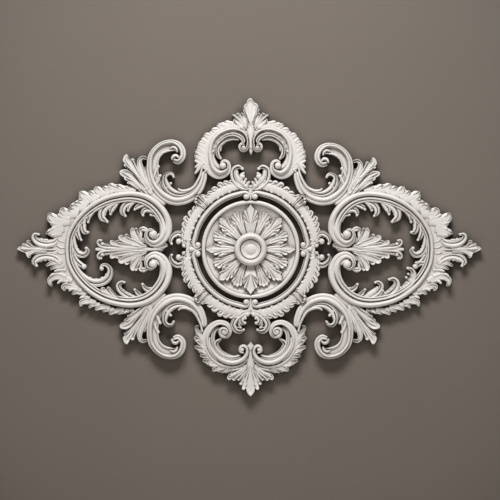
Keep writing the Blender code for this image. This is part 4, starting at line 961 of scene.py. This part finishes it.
def united(name, bodies):
    """One closed mesh from overlapping bodies."""
    helpers = bpy.data.collections.new(name + " bodies")
    objects = [bpy.data.objects.new(name, body_mesh(name, body)) for body in bodies]
    for other in objects[1:]:
        helpers.objects.link(other)
    piece = objects[0]
    bpy.context.scene.collection.objects.link(piece)
    union = piece.modifiers.new("union", "BOOLEAN")
    union.operation = "UNION"
    union.operand_type = "COLLECTION"
    union.collection = helpers
    union.solver = "MANIFOLD"
    evaluated = piece.evaluated_get(bpy.context.evaluated_depsgraph_get())
    mesh = bpy.data.meshes.new_from_object(evaluated)
    piece.modifiers.remove(union)
    piece.data = mesh
    for other in objects[1:]:
        bpy.data.objects.remove(other)
    bpy.data.collections.remove(helpers)
    return piece


# Cross-sections. Place -1 is on the left of the way the curve runs on the drawing.
BAND = crown(((-0.5, 0.5, 1.0), (0.34, 0.27, 0.88), (0.82, 0.2, 0.8)), 0.6, 31)
BAND_END = crown(((0.3, 0.62, 1.0), (-0.5, 0.5, 0.86)), 0.6, 31)
LONG_BAND = ((0, BAND), (0.66, BAND), (0.8, BAND_END), (1, BAND_END))
AXIS_BAND = crown(((0.46, 0.5, 1.0), (-0.3, 0.8, 0.74)), 0.6, 29)
CORNER_BAND = facing(crown(((0.3, 0.6, 1.0), (-0.55, 0.45, 0.84)), 0.6, 25))
CHANNEL = facing(crown(((-0.84, 0.2, 1.0), (0.8, 0.24, 0.98), (0, 0.9, 0.8)), 0.66, 25))
PLAIN_ROLL = round_top(0.6, 13)
RIB = round_top(0.72, 9)
PETAL_RIB = round_top(0.82, 9)
UNDERLEAF = round_top(0.86, 9)
OUTER_BORDER = round_top(0.84, 13)
LOBE_ROOT = crown(((-0.5, 0.5, 0.97), (0.5, 0.5, 0.97), (0, 0.8, 0.97)), 0.8, 19)
LOBE_TIP = crown(((-0.72, 0.28, 1), (0.72, 0.28, 1), (0, 0.8, 0.86)), 0.66, 19)
LOBE = ((0, LOBE_ROOT), (0.25, LOBE_ROOT), (0.75, LOBE_TIP), (1, LOBE_TIP))
FOLD = crown(((-0.46, 0.54, 1), (0.52, 0.48, 0.94)), 0.7, 15)
HOOK_ROOT = crown(((-0.5, 0.5, 0.98), (0.44, 0.48, 0.94)), 0.66, 23)
HOOK_MIDDLE = crown(((-0.44, 0.56, 1), (0.5, 0.38, 0.86), (0.86, 0.14, 0.9)), 0.62, 23)
HOOK_TIP = round_top(0.6, 23)
HOOK = ((0, HOOK_ROOT), (0.55, HOOK_MIDDLE), (0.85, HOOK_MIDDLE), (1, HOOK_TIP))
HOLLOW = crown(((-0.78, 0.24, 1), (0.78, 0.24, 1), (0, 0.6, 0.84)), 0.62, 17)
RING_ROLL = crown(((-0.12, 0.88, 1), (0.8, 0.2, 0.86)), 0.5, 21)
RING_LOBE = crown(((-0.42, 0.58, 1), (0.6, 0.4, 0.93)), 0.8, 15)

# Tables of strands: curve, cross-section, and height, as in the heights further up.
TOP_STRANDS = (
    (TOP_ROLL, AXIS_BAND, ((0, 34), (0.2, 36), (0.8, 34), (1, 38))),
    (TOP_RIDGE, FOLD, ((0, 24), (0.3, 29), (1, 31))),
    (TOP_CURL, HOOK, ((0, 25), (0.6, 27), (1, 29))),
    (TOP_TOOTH, RIB, ((0, 22), (1, 24))),
    (TOP_INNER, PLAIN_ROLL, 27),
    (TOP_PLATE, PLAIN_ROLL, 25),
)
TOP_DROP_STRANDS = (
    (TOP_DROPS[0], PLAIN_ROLL, ((0, 23), (0.3, 26), (0.6, 30), (1, 32))),
    (TOP_DROPS[1], PLAIN_ROLL, 29),
)
BOTTOM_STRANDS = (
    (BOTTOM_ROLL, facing(AXIS_BAND), ((0, 36), (0.3, 35), (1, 29))),
    (BOTTOM_CREST, PLAIN_ROLL, ((0, 31), (0.5, 35), (1, 38))),
    (BOTTOM_INNER, FOLD, ((0, 28), (0.5, 29), (1, 28))),
    (BOTTOM_EDGE, PLAIN_ROLL, ((0, 26), (1, 28))),
    (BOTTOM_LEAF, HOOK, ((0, 26), (1, 30))),
    (BOTTOM_SPIRAL, PLAIN_ROLL, ((0, 36), (1, 42))),
)
BOTTOM_DROP_STRANDS = (
    (BOTTOM_DROPS[0], PLAIN_ROLL, ((0, 23), (0.3, 26), (0.6, 30), (1, 33))),
    (BOTTOM_DROPS[1], PLAIN_ROLL, 35),
)
CORNER_STRANDS = (
    (CORNER_ROLL, CORNER_BAND, ((0, 36), (0.5, 33), (1, 28))),
    (CORNER_CHANNEL, CHANNEL, ((0, 30), (0.4, 28), (1, 24))),
)
STEM_STRANDS = (
    (DIAGONAL_LEAF, facing(HOOK), ((0, 26), (0.6, 28), (1, 31))),
    (STEM_RIM, RIB, ((0, 27), (1, 29))),
)
PLATE_STRANDS = (
    (NORTH_PLATE, PLAIN_ROLL, ((0, 29), (1, 28.5))),
    (SOUTH_PLATE, PLAIN_ROLL, 25),
)


class Wire:
    """A node's output, on which the operators add Math nodes."""

    def __init__(self, tree, socket):
        self.tree = tree
        self.socket = socket

    def math(self, operation, first, second):
        return self.tree.node("ShaderNodeMath", {"operation": operation}, {0: first, 1: second})

    def __add__(self, other):
        return self.math("ADD", self, other)

    __radd__ = __add__

    def __sub__(self, other):
        return self.math("SUBTRACT", self, other)

    def __rsub__(self, other):
        return self.math("SUBTRACT", other, self)

    def __mul__(self, other):
        return self.math("MULTIPLY", self, other)

    __rmul__ = __mul__

    def __pow__(self, other):
        return self.math("POWER", self, other)

    def __rpow__(self, other):
        return self.math("POWER", other, self)

    def ramp(self, low, high):
        """0 up to low, 1 from high, smooth between."""
        limits = {"Value": self, "From Min": low, "From Max": high}
        return self.tree.node("ShaderNodeMapRange", {"interpolation_type": "SMOOTHSTEP"}, limits)


class Finish:
    """A material's node tree, built from plain calls."""

    def __init__(self, name):
        self.material = bpy.data.materials.new(name)
        self.material.use_nodes = True
        self.nodes = self.material.node_tree.nodes
        self.links = self.material.node_tree.links
        self.shader = self.nodes["Principled BSDF"]

    def node(self, kind, settings, inputs, output=0):
        """A node of that kind: its settings first, then the values or wires of its sockets."""
        node = self.nodes.new(kind)
        for key, value in settings.items():
            setattr(node, key, value)
        for key, value in inputs.items():
            self.plug(node.inputs[key], value)
        return Wire(self, node.outputs[output])

    def plug(self, socket, value):
        """Links a wire to a socket, or sets the socket's own value."""
        if isinstance(value, Wire):
            self.links.new(value.socket, socket)
        else:
            socket.default_value = value

    def mix(self, share, first, second):
        """One colour turning into another as the share goes from 0 to 1."""
        inputs = dict(zip(MIX_SOCKETS, (share, first, second)))
        return self.node("ShaderNodeMix", {"data_type": "RGBA"}, inputs, MIX_RESULT)

    def place(self):
        """Places on the surface, in the object's own coordinates."""
        return self.node("ShaderNodeTexCoord", {}, {}, "Object")

    def noise(self, place, scale, detail, roughness):
        """Cloudy noise, around 0.5."""
        inputs = {"Vector": place, "Scale": scale, "Detail": detail, "Roughness": roughness}
        return self.node("ShaderNodeTexNoise", {}, inputs)

    def closeness(self, reach, rays, limits):
        """1 in hollows and close to other surfaces, 0 in the open."""
        settings, inputs = {"samples": rays}, {"Distance": reach}
        open_sky = self.node("ShaderNodeAmbientOcclusion", settings, inputs, "AO")
        return 1 - open_sky.ramp(*limits)

    def set(self, **values):
        """Values or wires for the Principled shader's sockets."""
        for key, value in values.items():
            self.plug(self.shader.inputs[key.replace("_", " ").title()], value)


def painted_plaster(look):
    """Old limewash on cast plaster: warm white, with dark specks, and painted shade that darkens the
    hollows.
    """
    finish = Finish(PLASTER)
    place = finish.place()
    cloud = finish.noise(place, *CLOUDS).ramp(*CLOUD_RAMP)
    grain = finish.noise(place, *GRAIN)
    colour = finish.mix(cloud, (*look.plaster, 1), (*look.plaster_shade, 1))
    speck = finish.noise(place, *SPECKS).ramp(*SPECK_RAMP)
    colour = finish.mix(speck * look.specks, colour, (*look.dirt_and_shade, 1))
    # Painted shade: hollows and creases turn toward the dark colour, standing in for the shade there.
    dirt_and_shade = finish.closeness(look.painted_shade_reach, PAINTED_SHADE_RAYS, PAINTED_SHADE_RAMP) * look.painted_shade_share
    colour = finish.mix(dirt_and_shade, colour, (*look.dirt_and_shade, 1))
    height = grain * GRAIN_SHARE + cloud * CLOUD_SHARE
    bump = {"Strength": look.grain, "Distance": GRAIN_DEPTH, "Height": height}
    finish.set(base_color=colour, roughness=look.roughness + ROUGHER * cloud, metallic=0.0,
               normal=finish.node("ShaderNodeBump", {}, bump, "Normal"))
    return finish.material


def cloudy_paint(finish, colour):
    """Matt paint with a faint cloudiness."""
    cloud = finish.noise(finish.place(), *PAINT_CLOUDS)
    finish.set(roughness=PAINT_ROUGHNESS)
    return finish.mix(cloud, (*colour, 1), (*(PALER * c for c in colour), 1))


def floor_paint(colour):
    """Plain floor paint."""
    finish = Finish("floor paint")
    finish.set(base_color=cloudy_paint(finish, colour))
    return finish.material


def wall_paint(colour, shade):
    """Matt paint, with painted shade far out and painted shade close to the rose, in and round its
    openings.
    """
    finish = Finish("wall paint")
    # Painted shade: the wall turns dark where the rose hems it in, as its shadows would.
    near = finish.closeness(WALL_SHADE_REACH, WALL_RAYS, WALL_RAMP) * shade
    length = {"operation": "LENGTH"}
    away = finish.node("ShaderNodeVectorMath", length, {0: finish.place()}, "Value")
    # Painted shade: the wall darkens toward its edges, as if less light reached there.
    far = away ** WALL_FADE_POWER * WALL_FADE
    paint = finish.mix(far, cloudy_paint(finish, colour), WALL_FALLOFF_SHADE)
    finish.set(base_color=finish.mix(near, paint, WALL_SHADE_COLOUR))
    return one_sided(finish)


def one_sided(finish):
    """Seen from behind, the surface lets everything through."""
    back = finish.node("ShaderNodeNewGeometry", {}, {}, "Backfacing")
    clear = finish.node("ShaderNodeBsdfTransparent", {}, {})
    shader = Wire(finish, finish.shader.outputs[0])
    both = finish.node("ShaderNodeMixShader", {}, {0: back, 1: shader, 2: clear})
    finish.plug(finish.nodes["Material Output"].inputs["Surface"], both)
    return finish.material


def backdrop(name, corners, material):
    """A flat four-cornered surface that isn't part of the rose."""
    mesh = bpy.data.meshes.new(name)
    mesh.from_pydata(corners, [], [tuple(range(len(corners)))])
    mesh.materials.append(material)
    obj = bpy.data.objects.new(name, mesh)
    bpy.context.scene.collection.objects.link(obj)


def lamp(name, place, size, power):
    """A soft light at a place, aimed at the rose."""
    light = bpy.data.lights.new(name, "AREA")
    light.shape = "RECTANGLE"
    light.size, light.size_y = size
    light.energy = power
    light.color = LAMP_COLOUR
    obj = bpy.data.objects.new(name, light)
    obj.location = place
    obj.rotation_euler = (-Vector(place)).to_track_quat("-Z", "Y").to_euler()
    bpy.context.scene.collection.objects.link(obj)


def around_hub(radius, angle):
    """A grid point at a distance and an angle from the top, clockwise, round the hub."""
    return MIDDLE[0] + radius * math.sin(angle), MIDDLE[1] - radius * math.cos(angle)


def beside_axis(across, out, angle):
    """A grid point beside a line that leaves the hub's middle at an angle."""
    return around_hub(math.hypot(across, out), angle + math.atan2(across, out))


def half_round(place, half, top, rise, cuts):
    """Points over the top of a half round moulding."""
    turns = [math.pi * k / cuts for k in range(cuts + 1)]
    return [(place - half * math.cos(turn), top + rise * math.sin(turn)) for turn in turns]


def hub_body():
    """The turned boss: button, fine rings, thick ring, petal dish and rim."""
    profile = [*BUTTON, *half_round(*THICK_RING), *DISH_FLOOR, *half_round(*RIM_ROLL)]
    return turned_boss([(radius * STEP, height) for radius, height in profile])


def petal(angle, edge, ribs, rank):
    """A petal of the flower: a toothed fan with low ribs that run out to its teeth."""
    low, high, hollow = rank
    other = [(-across, out, share) for across, out, share in edge[::-1] if across > 0]
    outline = [(*beside_axis(across, out, angle), share) for across, out, share in (*edge, *other)]
    bodies = fans([(around_hub(PETAL_HEART, angle), outline)], (low, high), hollow=hollow)
    heights = [(share, low + lift) for share, lift in RIB_LIFT]
    for across, reach, half in ribs:
        for sign in (-1, 1) if across else (1,):
            points = []
            for share, spread, wide in RIB_COURSE:
                out = PETAL_ROOT + (reach - PETAL_ROOT) * share
                points.append((*beside_axis(sign * across * spread, out, angle), half * wide))
            bodies.append(strand(points, PETAL_RIB, heights, foot=RIB_FOOT))
    return bodies


def hub_flower():
    """The boss with its sixteen petals in two ranks."""
    bodies = [hub_body()]
    for k in range(PETALS):
        bodies += petal(math.tau * k / PETALS, *PETAL_KINDS[k % len(PETAL_KINDS)])
    return united("hub_flower", bodies)


def ring_roll(start):
    """A quarter of the ring's inner roll, curled inwards to a bead at each end."""
    points = [*ROLL_CURL, *((ROLL_LINE, turn, ROLL_HALF) for turn in ROLL_TURNS)]
    points += [(radius, 90 - turn, half) for radius, turn, half in ROLL_CURL[::-1]]
    path = [(*around_hub(r, start + math.radians(turn)), half) for r, turn, half in points]
    return strand(path, RING_ROLL, RING_ROLL_RISE, round_start=True)


def ring_quarter(quarter):
    """A quarter of the ring: its roll, its flat border, and the wedge and beads at its start."""
    start = math.radians(90 * quarter)
    wedge = [(*around_hub(r, start), half) for r, half in AXIS_WEDGE]
    border = [(*around_hub(BORDER_LINE, start + math.radians(turn)), BORDER_HALF)
              for turn in BORDER_TURNS]
    bodies = [ring_roll(start), strand(wedge, PLAIN_ROLL, AXIS_WEDGE_RISE),
              strand(border, OUTER_BORDER, OUTER_BORDER_RISE)]
    across, out = BEAD_PLACE
    for sign in (-1, 1):
        bodies.append(ball(beside_axis(sign * across, out, start), BEAD_RADIUS, BEAD_TOP))
    return bodies


def ring_tips(octant):
    """The small lapping leaves of an eighth of the ring, leaning away from the nearer axis."""
    lean = -1 if octant % 2 else 1
    start = math.radians(45 * (octant + octant % 2))

    def along(course, turn, half):
        return [(*around_hub(r, start + math.radians(turn + a) * lean), wide * half)
                for r, a, wide in course]

    bodies = []
    for turn, reach, half in RING_TIPS:
        course = (*TIP_ROOT, (reach - NEAR_TIP, NEAR_TIP_TURN, 1),
                  (reach - TIP_SHARE * half, 0, TIP_SHARE))
        points = along(course, turn, half)
        bodies.append(strand(points, RING_LOBE, RING_TIP_RISE, spacing=RING_TIP_SPACING))
    for turn, half in INNER_TIPS:
        points = along(INNER_COURSE, turn, half)
        bodies.append(strand(points, RIB, INNER_TIP_RISE, spacing=INNER_TIP_SPACING))
    return bodies


def leaf_ring():
    """The ring round the hub: four curled rolls and a border of small lapping leaves."""
    bodies = [turned_ring([(radius * STEP, height) for radius, height in RING_SECTION])]
    for quarter in range(4):
        bodies += ring_quarter(quarter) + ring_tips(2 * quarter) + ring_tips(2 * quarter + 1)
    for side in (-1, 1):
        bodies += curled(AXIS_HOOKS, AXIS_HOOK_RISE, side, toothed=False)
        bodies += balls(SOUTH_BALLS, side)
        bodies += leaves(NORTH_LOBES, AXIS_HOOK_RISE, side, sheet=None)
        bodies += strands(PLATE_STRANDS, side)
        for level in (-1, 1):
            bodies += curled(SIDE_HOOKS, SIDE_HOOK_RISE, side, level)
            bodies += balls(SIDE_BALLS, side, level)
            bodies.append(strand(TIE_LEAF, PLAIN_ROLL, TIE_LEAF_RISE, side, level))
            bodies += curled(DIAGONAL_CURLS, DIAGONAL_CURL_RISE, side, level, toothed=False)
            bodies += leaves(TIE_LOBES, TIE_LOBE_RISE, side, level)
    return united("leaf_ring", bodies)


def curled(shapes, rise, side=-1, level=1, section=HOOK, toothed=True):
    """Hooked leaves that rise to their curled tips, the larger ones toothed along the inside."""
    low, high = rise
    share, swell = HOOK_SWELL
    heights = ((0, low), (share, low + swell), (1, high))
    bodies = []
    for points in shapes:
        bodies.append(strand(points, section, heights, side, level, spacing=HOOK_SPACING))
        across, down, half = points[-1]
        tip = half * TIP_BALL, high + TIP_PROUD
        bodies.append(ball((across, down), *tip, side, level, around=TIP_SIDES))
        if toothed and max(point[2] for point in points) > TOOTHED:
            bodies += teeth(points, low - TOOTH_DROP, side, level)
    return bodies


def teeth(points, top, side, level):
    """Small bumps along the hollow side of a curled leaf."""
    path = curve_through(points)
    reach = reaches(path)
    bodies = []
    for share in TOOTH_PLACES:
        here = int(np.searchsorted(reach, reach[-1] * share))
        before, spot = path[here - BOW_WINDOW], path[here]
        after = path[min(here + BOW_WINDOW, len(path) - 1)]
        bow = (before[:2] + after[:2]) / 2 - spot[:2]
        length = np.linalg.norm(bow)
        if length > LEAST_BOW:
            place = spot[:2] + bow / length * spot[2] * TOOTH_OUT
            bodies.append(ball(place, spot[2] * TOOTH_SIZE, top, side, level, around=TOOTH_SIDES))
    return bodies


def leaves(shapes, rise, side=-1, level=1, sheet=SHEET):
    """Lobes of a leaf, each from its root to its tip, with the leaf's sheet between them."""
    low, high = rise
    heights = ((0, low + LOBE_FOOT), (0.5, low + LOBE_SAG), (1, high))
    bodies = []
    for points in shapes:
        broad = max(point[2] for point in points) > BROAD
        bodies.append(strand(points, LOBE if broad else RIB, heights, side, level,
                             spacing=LOBE_SPACING, rim=broad))
        if sheet:
            drop, cover, share, margin = sheet
            under = sampled(curve_through(points), cover, SHEET_POINTS)
            under[:, 2] = under[:, 2] * share + margin
            fall = ((0, low + SHEET_FOOT), (1, (low + high) / 2 - drop))
            bodies.append(strand(under, UNDERLEAF, fall, side, level))
    return bodies


def long_scrolls(side, name):
    """The two long scrolls on one side, with their eyes, leaf borders and hooked leaves."""
    bodies = []
    for level in (-1, 1):
        bodies.append(strand(LONG_SCROLL, LONG_BAND, LONG_SCROLL_RISE, side, level))
        bodies += balls(LONG_EYE, side, level)
        bodies.append(strand(EYE_CUSHION, PLAIN_ROLL, CUSHION_RISE, side, level))
    bodies += leaves(VOLUTE_LOBE, VOLUTE_LEAF_RISE, side)
    bodies += leaves(UPPER_LOBES, UPPER_LEAF_RISE, side, sheet=UPPER_SHEET)
    bodies += leaves(LOWER_LOBES, LOWER_LEAF_RISE, side, sheet=LOWER_SHEET)
    bodies += curled(WEST_HOOKS, WEST_HOOK_RISE, side)
    bodies += curled(INNER_HOOKS, INNER_HOOK_RISE, side)
    if side < 0:
        bodies += curled(LEFT_HOOKS, INNER_HOOK_RISE, side)
        bodies += fans(LEFT_FAN, LEFT_FAN_RISE, hollow=LEFT_FAN_HOLLOW)
    else:
        bodies += curled(RIGHT_HOOKS, INNER_HOOK_RISE, side)
        bodies += [strand(points, PLAIN_ROLL, RIGHT_SHEET_RISE, side) for points in RIGHT_SHEETS]
    bodies.append(strand(WEST_SHEET, UNDERLEAF, WEST_SHEET_RISE, side))
    bodies.append(strand(WEST_TIP, HOLLOW, WEST_TIP_RISE, side, rim=True))
    bodies += fans(WEST_TIP_FAN, WEST_FAN_RISE, side, hollow=WEST_FAN_HOLLOW)
    bodies += [strand(points, RIB, WEST_VEIN_RISE, side) for points in WEST_VEINS]
    bodies.append(strand(CLASP, PLAIN_ROLL, CLASP_RISE, side))
    return united(name, bodies)


def palmette(side, name):
    """The fan of lobed leaves that points outwards from between two volutes."""
    bodies = []
    for level in (-1, 1):
        bodies += fans(PALMETTE_FANS, PALMETTE_FAN_RISE, side, level)
        bodies += leaves(PALMETTE_LOBES, PALMETTE_RIB_RISE, side, level, sheet=None)
        bodies += curled(PALMETTE_HOOK, PALMETTE_HOOK_RISE, side, level)
        bodies += balls(PALMETTE_KNOB, side, level)
    bodies.append(strand(PALMETTE_ROOT, PLAIN_ROLL, PALMETTE_ROOT_RISE, side))
    return united(name, bodies)


def top_scrolls():
    """The pair of C scrolls above the ring, with their leaf borders, finial and drop."""
    bodies = []
    for side in (-1, 1):
        bodies += strands(TOP_STRANDS, side) + balls(TOP_EYES, side)
        bodies += leaves(TOP_LOBES, TOP_LEAF_RISE, side, sheet=TOP_SHEET)
        bodies += leaves(TOP_LAST_LOBES, TOP_LEAF_RISE, side, sheet=TOP_LAST_SHEET)
        bodies += fans(TOP_SIDE_FAN, AXIS_FAN_RISE, side)
        bodies += leaves(TOP_FINIAL_LOBES, AXIS_RIB_RISE, side, sheet=None)
    bodies += fans(TOP_FINIAL_FAN, FINIAL_FAN_RISE, hollow=FINIAL_HOLLOW)
    bodies += strands(TOP_DROP_STRANDS)
    return united("top_scrolls", bodies)


def bottom_scrolls():
    """The pair of C scrolls below the ring, with their leaf borders, finial and drop."""
    bodies = []
    for side in (-1, 1):
        bodies += strands(BOTTOM_STRANDS, side) + balls(BOTTOM_EYES, side)
        bodies += leaves(BOTTOM_LOBES, BOTTOM_LEAF_RISE, side, sheet=BOTTOM_SHEET)
        bodies += fans(BOTTOM_SIDE_FAN, AXIS_FAN_RISE, side)
        bodies += leaves(BOTTOM_FINIAL_LOBES, AXIS_RIB_RISE, side, sheet=None)
    half = BOTTOM_HALF_FAN
    outline = [*half, *((2 * MIDLINE - across, down, share) for across, down, share in half[-2::-1])]
    bodies += fans([(BOTTOM_FAN_ROOT, outline)], FINIAL_FAN_RISE, hollow=FINIAL_HOLLOW)
    bodies += strands(BOTTOM_DROP_STRANDS)
    return united("bottom_scrolls", bodies)


def corner_scroll(side, level, name):
    """A C scroll on the diagonal, with its channel, curled leaf and spray of leaves."""
    bodies = strands(CORNER_STRANDS, side, level)
    bodies += curled(CORNER_TEETH, CORNER_TOOTH_RISE, side, level, section=RIB, toothed=False)
    bodies += strands(STEM_STRANDS, side, level)
    for points, heights in ((CORNER_EYE_CURL, CORNER_EYE_RISE), (CORNER_KNOB, CORNER_KNOB_RISE)):
        bodies.append(strand(points, PLAIN_ROLL, heights, side, level, round_start=True))
    bodies += fans(CORNER_FANS, CORNER_FAN_RISE, side, level)
    bodies += leaves(CORNER_SPRAY, CORNER_SPRAY_RISE, side, level, sheet=None)
    bodies.append(strand(SPRAY_ROOT, PLAIN_ROLL, SPRAY_ROOT_RISE, side, level))
    return united(name, bodies)


class RoseSizes(bpy.types.PropertyGroup):
    """How large the rose is, and how its surface is shaded."""

    length: bpy.props.FloatProperty(
        name="Length", description="Distance between the two outermost leaf tips",
        default=GRID_LENGTH * STEP * MM, min=0.1, max=5, unit="LENGTH")
    depth: bpy.props.FloatProperty(
        name="Depth", description="Distance from the back to the top of the highest eye",
        default=DEPTH * MM, min=0.005, max=0.3, unit="LENGTH")
    crease: bpy.props.FloatProperty(
        name="Crease", description="Edges that turn more than this stay sharp",
        default=math.radians(38), min=0, max=math.pi, subtype="ANGLE")


class RoseLook(bpy.types.PropertyGroup):
    """Colours and wear of the plaster, and the shade painted into its hollows."""

    plaster: bpy.props.FloatVectorProperty(
        name="Plaster", description="Colour of the limewash",
        default=(0.66, 0.635, 0.61), min=0, max=1, subtype="COLOR")
    plaster_shade: bpy.props.FloatVectorProperty(
        name="Plaster shade", description="Colour of the limewash where it is thinner",
        default=(0.6, 0.57, 0.545), min=0, max=1, subtype="COLOR")
    # The dark colour of the specks, also used for the shade painted into the hollows.
    dirt_and_shade: bpy.props.FloatVectorProperty(
        name="Dirt", description="Colour of the dirt in the hollows",
        default=(0.1, 0.077, 0.062), min=0, max=1, subtype="COLOR")
    # How strongly, and how wide, the shade is painted into the hollows.
    painted_shade_share: bpy.props.FloatProperty(
        name="Dirt share", description="How much of the colour in the deepest hollows is dirt",
        default=0.9, min=0, max=1, subtype="FACTOR")
    painted_shade_reach: bpy.props.FloatProperty(
        name="Dirt reach", description="How wide a hollow may be and still gather dirt",
        default=0.016, min=0.001, max=0.05, unit="LENGTH")
    specks: bpy.props.FloatProperty(
        name="Specks", description="How strongly the small dark specks show",
        default=0.25, min=0, max=1, subtype="FACTOR")
    grain: bpy.props.FloatProperty(
        name="Grain", description="Strength of the brushed grain",
        default=0.25, min=0, max=1, subtype="FACTOR")
    roughness: bpy.props.FloatProperty(
        name="Roughness", description="Roughness of the limewash where it is smoothest",
        default=0.44, min=0, max=1, subtype="FACTOR")


class StudioSettings(bpy.types.PropertyGroup):
    """The wall, the floor and the lights round the rose."""

    wall: bpy.props.FloatVectorProperty(
        name="Wall", description="Colour of the wall behind the rose",
        default=(0.131, 0.11, 0.093), min=0, max=1, subtype="COLOR")
    floor: bpy.props.FloatVectorProperty(
        name="Floor", description="Colour of the floor",
        default=(0.72, 0.7, 0.67), min=0, max=1, subtype="COLOR")
    # How strongly shade is painted onto the wall close to the rose.
    wall_shade: bpy.props.FloatProperty(
        name="Wall shade", description="How far the wall darkens close to the rose",
        default=0.7, min=0, max=1, subtype="FACTOR")
    key_power: bpy.props.FloatProperty(
        name="Key light", description="Power of the light from above",
        default=166, min=0, max=1000, unit="POWER")
    fill_power: bpy.props.FloatProperty(
        name="Fill light", description="Power of the light from the front",
        default=5, min=0, max=1000, unit="POWER")
    sky: bpy.props.FloatVectorProperty(
        name="Surroundings", description="Colour of the light from all round",
        default=(0.045, 0.0437, 0.0423), min=0, max=1, subtype="COLOR")


def stage(settings):
    """A wall close behind the rose, a pale floor, soft lights and the camera."""
    backdrop("wall", WALL, wall_paint(settings.wall, settings.wall_shade))
    backdrop("floor", FLOOR, floor_paint(settings.floor))
    lamp("key", KEY_PLACE, KEY_SIZE, settings.key_power)
    lamp("fill", FILL_PLACE, FILL_SIZE, settings.fill_power)
    world = bpy.data.worlds.new("studio")
    world.use_nodes = True
    world.node_tree.nodes["Background"].inputs["Color"].default_value = (*settings.sky, 1)
    scene = bpy.context.scene
    scene.world = world
    camera = bpy.data.cameras.new("camera")
    camera.lens = CAMERA_LENS
    obj = bpy.data.objects.new("camera", camera)
    obj.location = CAMERA_PLACE
    obj.rotation_euler = (math.pi / 2, 0, 0)
    scene.collection.objects.link(obj)
    scene.camera = obj
    scene.view_settings.view_transform = "Standard"


def finished(piece, scene):
    """Gives a piece its size, shading and plaster, and its place in the frame."""
    sizes = scene.rose_sizes
    across = sizes.length / (GRID_LENGTH * STEP * MM)
    piece.data.transform(Matrix.Diagonal((across, sizes.depth / (DEPTH * MM), across, 1)))
    piece.data.name = piece.name
    piece.data.materials.clear()
    piece.data.materials.append(bpy.data.materials.get(PLASTER) or painted_plaster(scene.rose_look))
    piece.data.shade_smooth()
    piece.data.set_sharp_from_angle(angle=sizes.crease)
    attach(piece, "root")
    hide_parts(NODE)


class ROSE_OT_hub_flower(bpy.types.Operator):
    """Add the flower boss in the middle"""

    bl_idname = "rose.hub_flower"
    bl_label = "Hub flower"

    def execute(self, context):
        finished(hub_flower(), context.scene)
        return {"FINISHED"}


class ROSE_OT_leaf_ring(bpy.types.Operator):
    """Add the ring of small leaves round the boss"""

    bl_idname = "rose.leaf_ring"
    bl_label = "Leaf ring"

    def execute(self, context):
        finished(leaf_ring(), context.scene)
        return {"FINISHED"}


class ROSE_OT_long_scrolls(bpy.types.Operator):
    """Add the long scrolls on the left and the right, with their leaf borders"""

    bl_idname = "rose.long_scrolls"
    bl_label = "Long scrolls"

    def execute(self, context):
        for side, word in SIDES:
            finished(long_scrolls(side, word + "_scrolls"), context.scene)
        return {"FINISHED"}


class ROSE_OT_palmettes(bpy.types.Operator):
    """Add the palmettes that point outwards from between the volutes"""

    bl_idname = "rose.palmettes"
    bl_label = "Palmettes"

    def execute(self, context):
        for side, word in SIDES:
            finished(palmette(side, word + "_palmette"), context.scene)
        return {"FINISHED"}


class ROSE_OT_corner_scrolls(bpy.types.Operator):
    """Add the four corner scrolls with their sprays of leaves"""

    bl_idname = "rose.corner_scrolls"
    bl_label = "Corner scrolls"

    def execute(self, context):
        for side, word in SIDES:
            for level, height in LEVELS:
                finished(corner_scroll(side, level, f"{height}_{word}_corner"), context.scene)
        return {"FINISHED"}


class ROSE_OT_axis_scrolls(bpy.types.Operator):
    """Add the pairs of scrolls above and below the ring, with their finials"""

    bl_idname = "rose.axis_scrolls"
    bl_label = "Axis scrolls"

    def execute(self, context):
        finished(top_scrolls(), context.scene)
        finished(bottom_scrolls(), context.scene)
        return {"FINISHED"}


class ROSE_OT_stage(bpy.types.Operator):
    """Add the wall, the floor, the lights and the camera"""

    bl_idname = "rose.stage"
    bl_label = "Studio"

    def execute(self, context):
        stage(context.scene.rose_studio)
        return {"FINISHED"}


class ROSE_PT_build(bpy.types.Panel):
    """The rose's pieces and settings"""

    bl_idname = "ROSE_PT_build"
    bl_label = "Ceiling rose"
    bl_space_type = "VIEW_3D"
    bl_region_type = "UI"
    bl_category = "Rose"

    def draw(self, context):
        for settings in (context.scene.rose_sizes, context.scene.rose_look, context.scene.rose_studio):
            box = self.layout.box()
            for name in settings.__annotations__:
                box.prop(settings, name)
        for operator in OPERATORS:
            self.layout.operator(operator.bl_idname)


OPERATORS = (ROSE_OT_hub_flower, ROSE_OT_leaf_ring, ROSE_OT_long_scrolls, ROSE_OT_palmettes,
             ROSE_OT_corner_scrolls, ROSE_OT_axis_scrolls, ROSE_OT_stage)
CLASSES = (RoseSizes, RoseLook, StudioSettings, *OPERATORS, ROSE_PT_build)


def register():
    """Registers the classes, and the settings on the scene."""
    for cls in CLASSES:
        bpy.utils.register_class(cls)
    bpy.types.Scene.rose_sizes = bpy.props.PointerProperty(type=RoseSizes)
    bpy.types.Scene.rose_look = bpy.props.PointerProperty(type=RoseLook)
    bpy.types.Scene.rose_studio = bpy.props.PointerProperty(type=StudioSettings)


def unregister():
    """Takes the settings and the classes away again."""
    del bpy.types.Scene.rose_studio
    del bpy.types.Scene.rose_look
    del bpy.types.Scene.rose_sizes
    for cls in reversed(CLASSES):
        bpy.utils.unregister_class(cls)


def main():
    """Builds the pieces and the studio in order."""
    register()
    bpy.ops.rose.hub_flower()
    bpy.ops.rose.leaf_ring()
    bpy.ops.rose.long_scrolls()
    bpy.ops.rose.palmettes()
    bpy.ops.rose.corner_scrolls()
    bpy.ops.rose.axis_scrolls()
    bpy.ops.rose.stage()


if __name__ == "__main__":
    main()
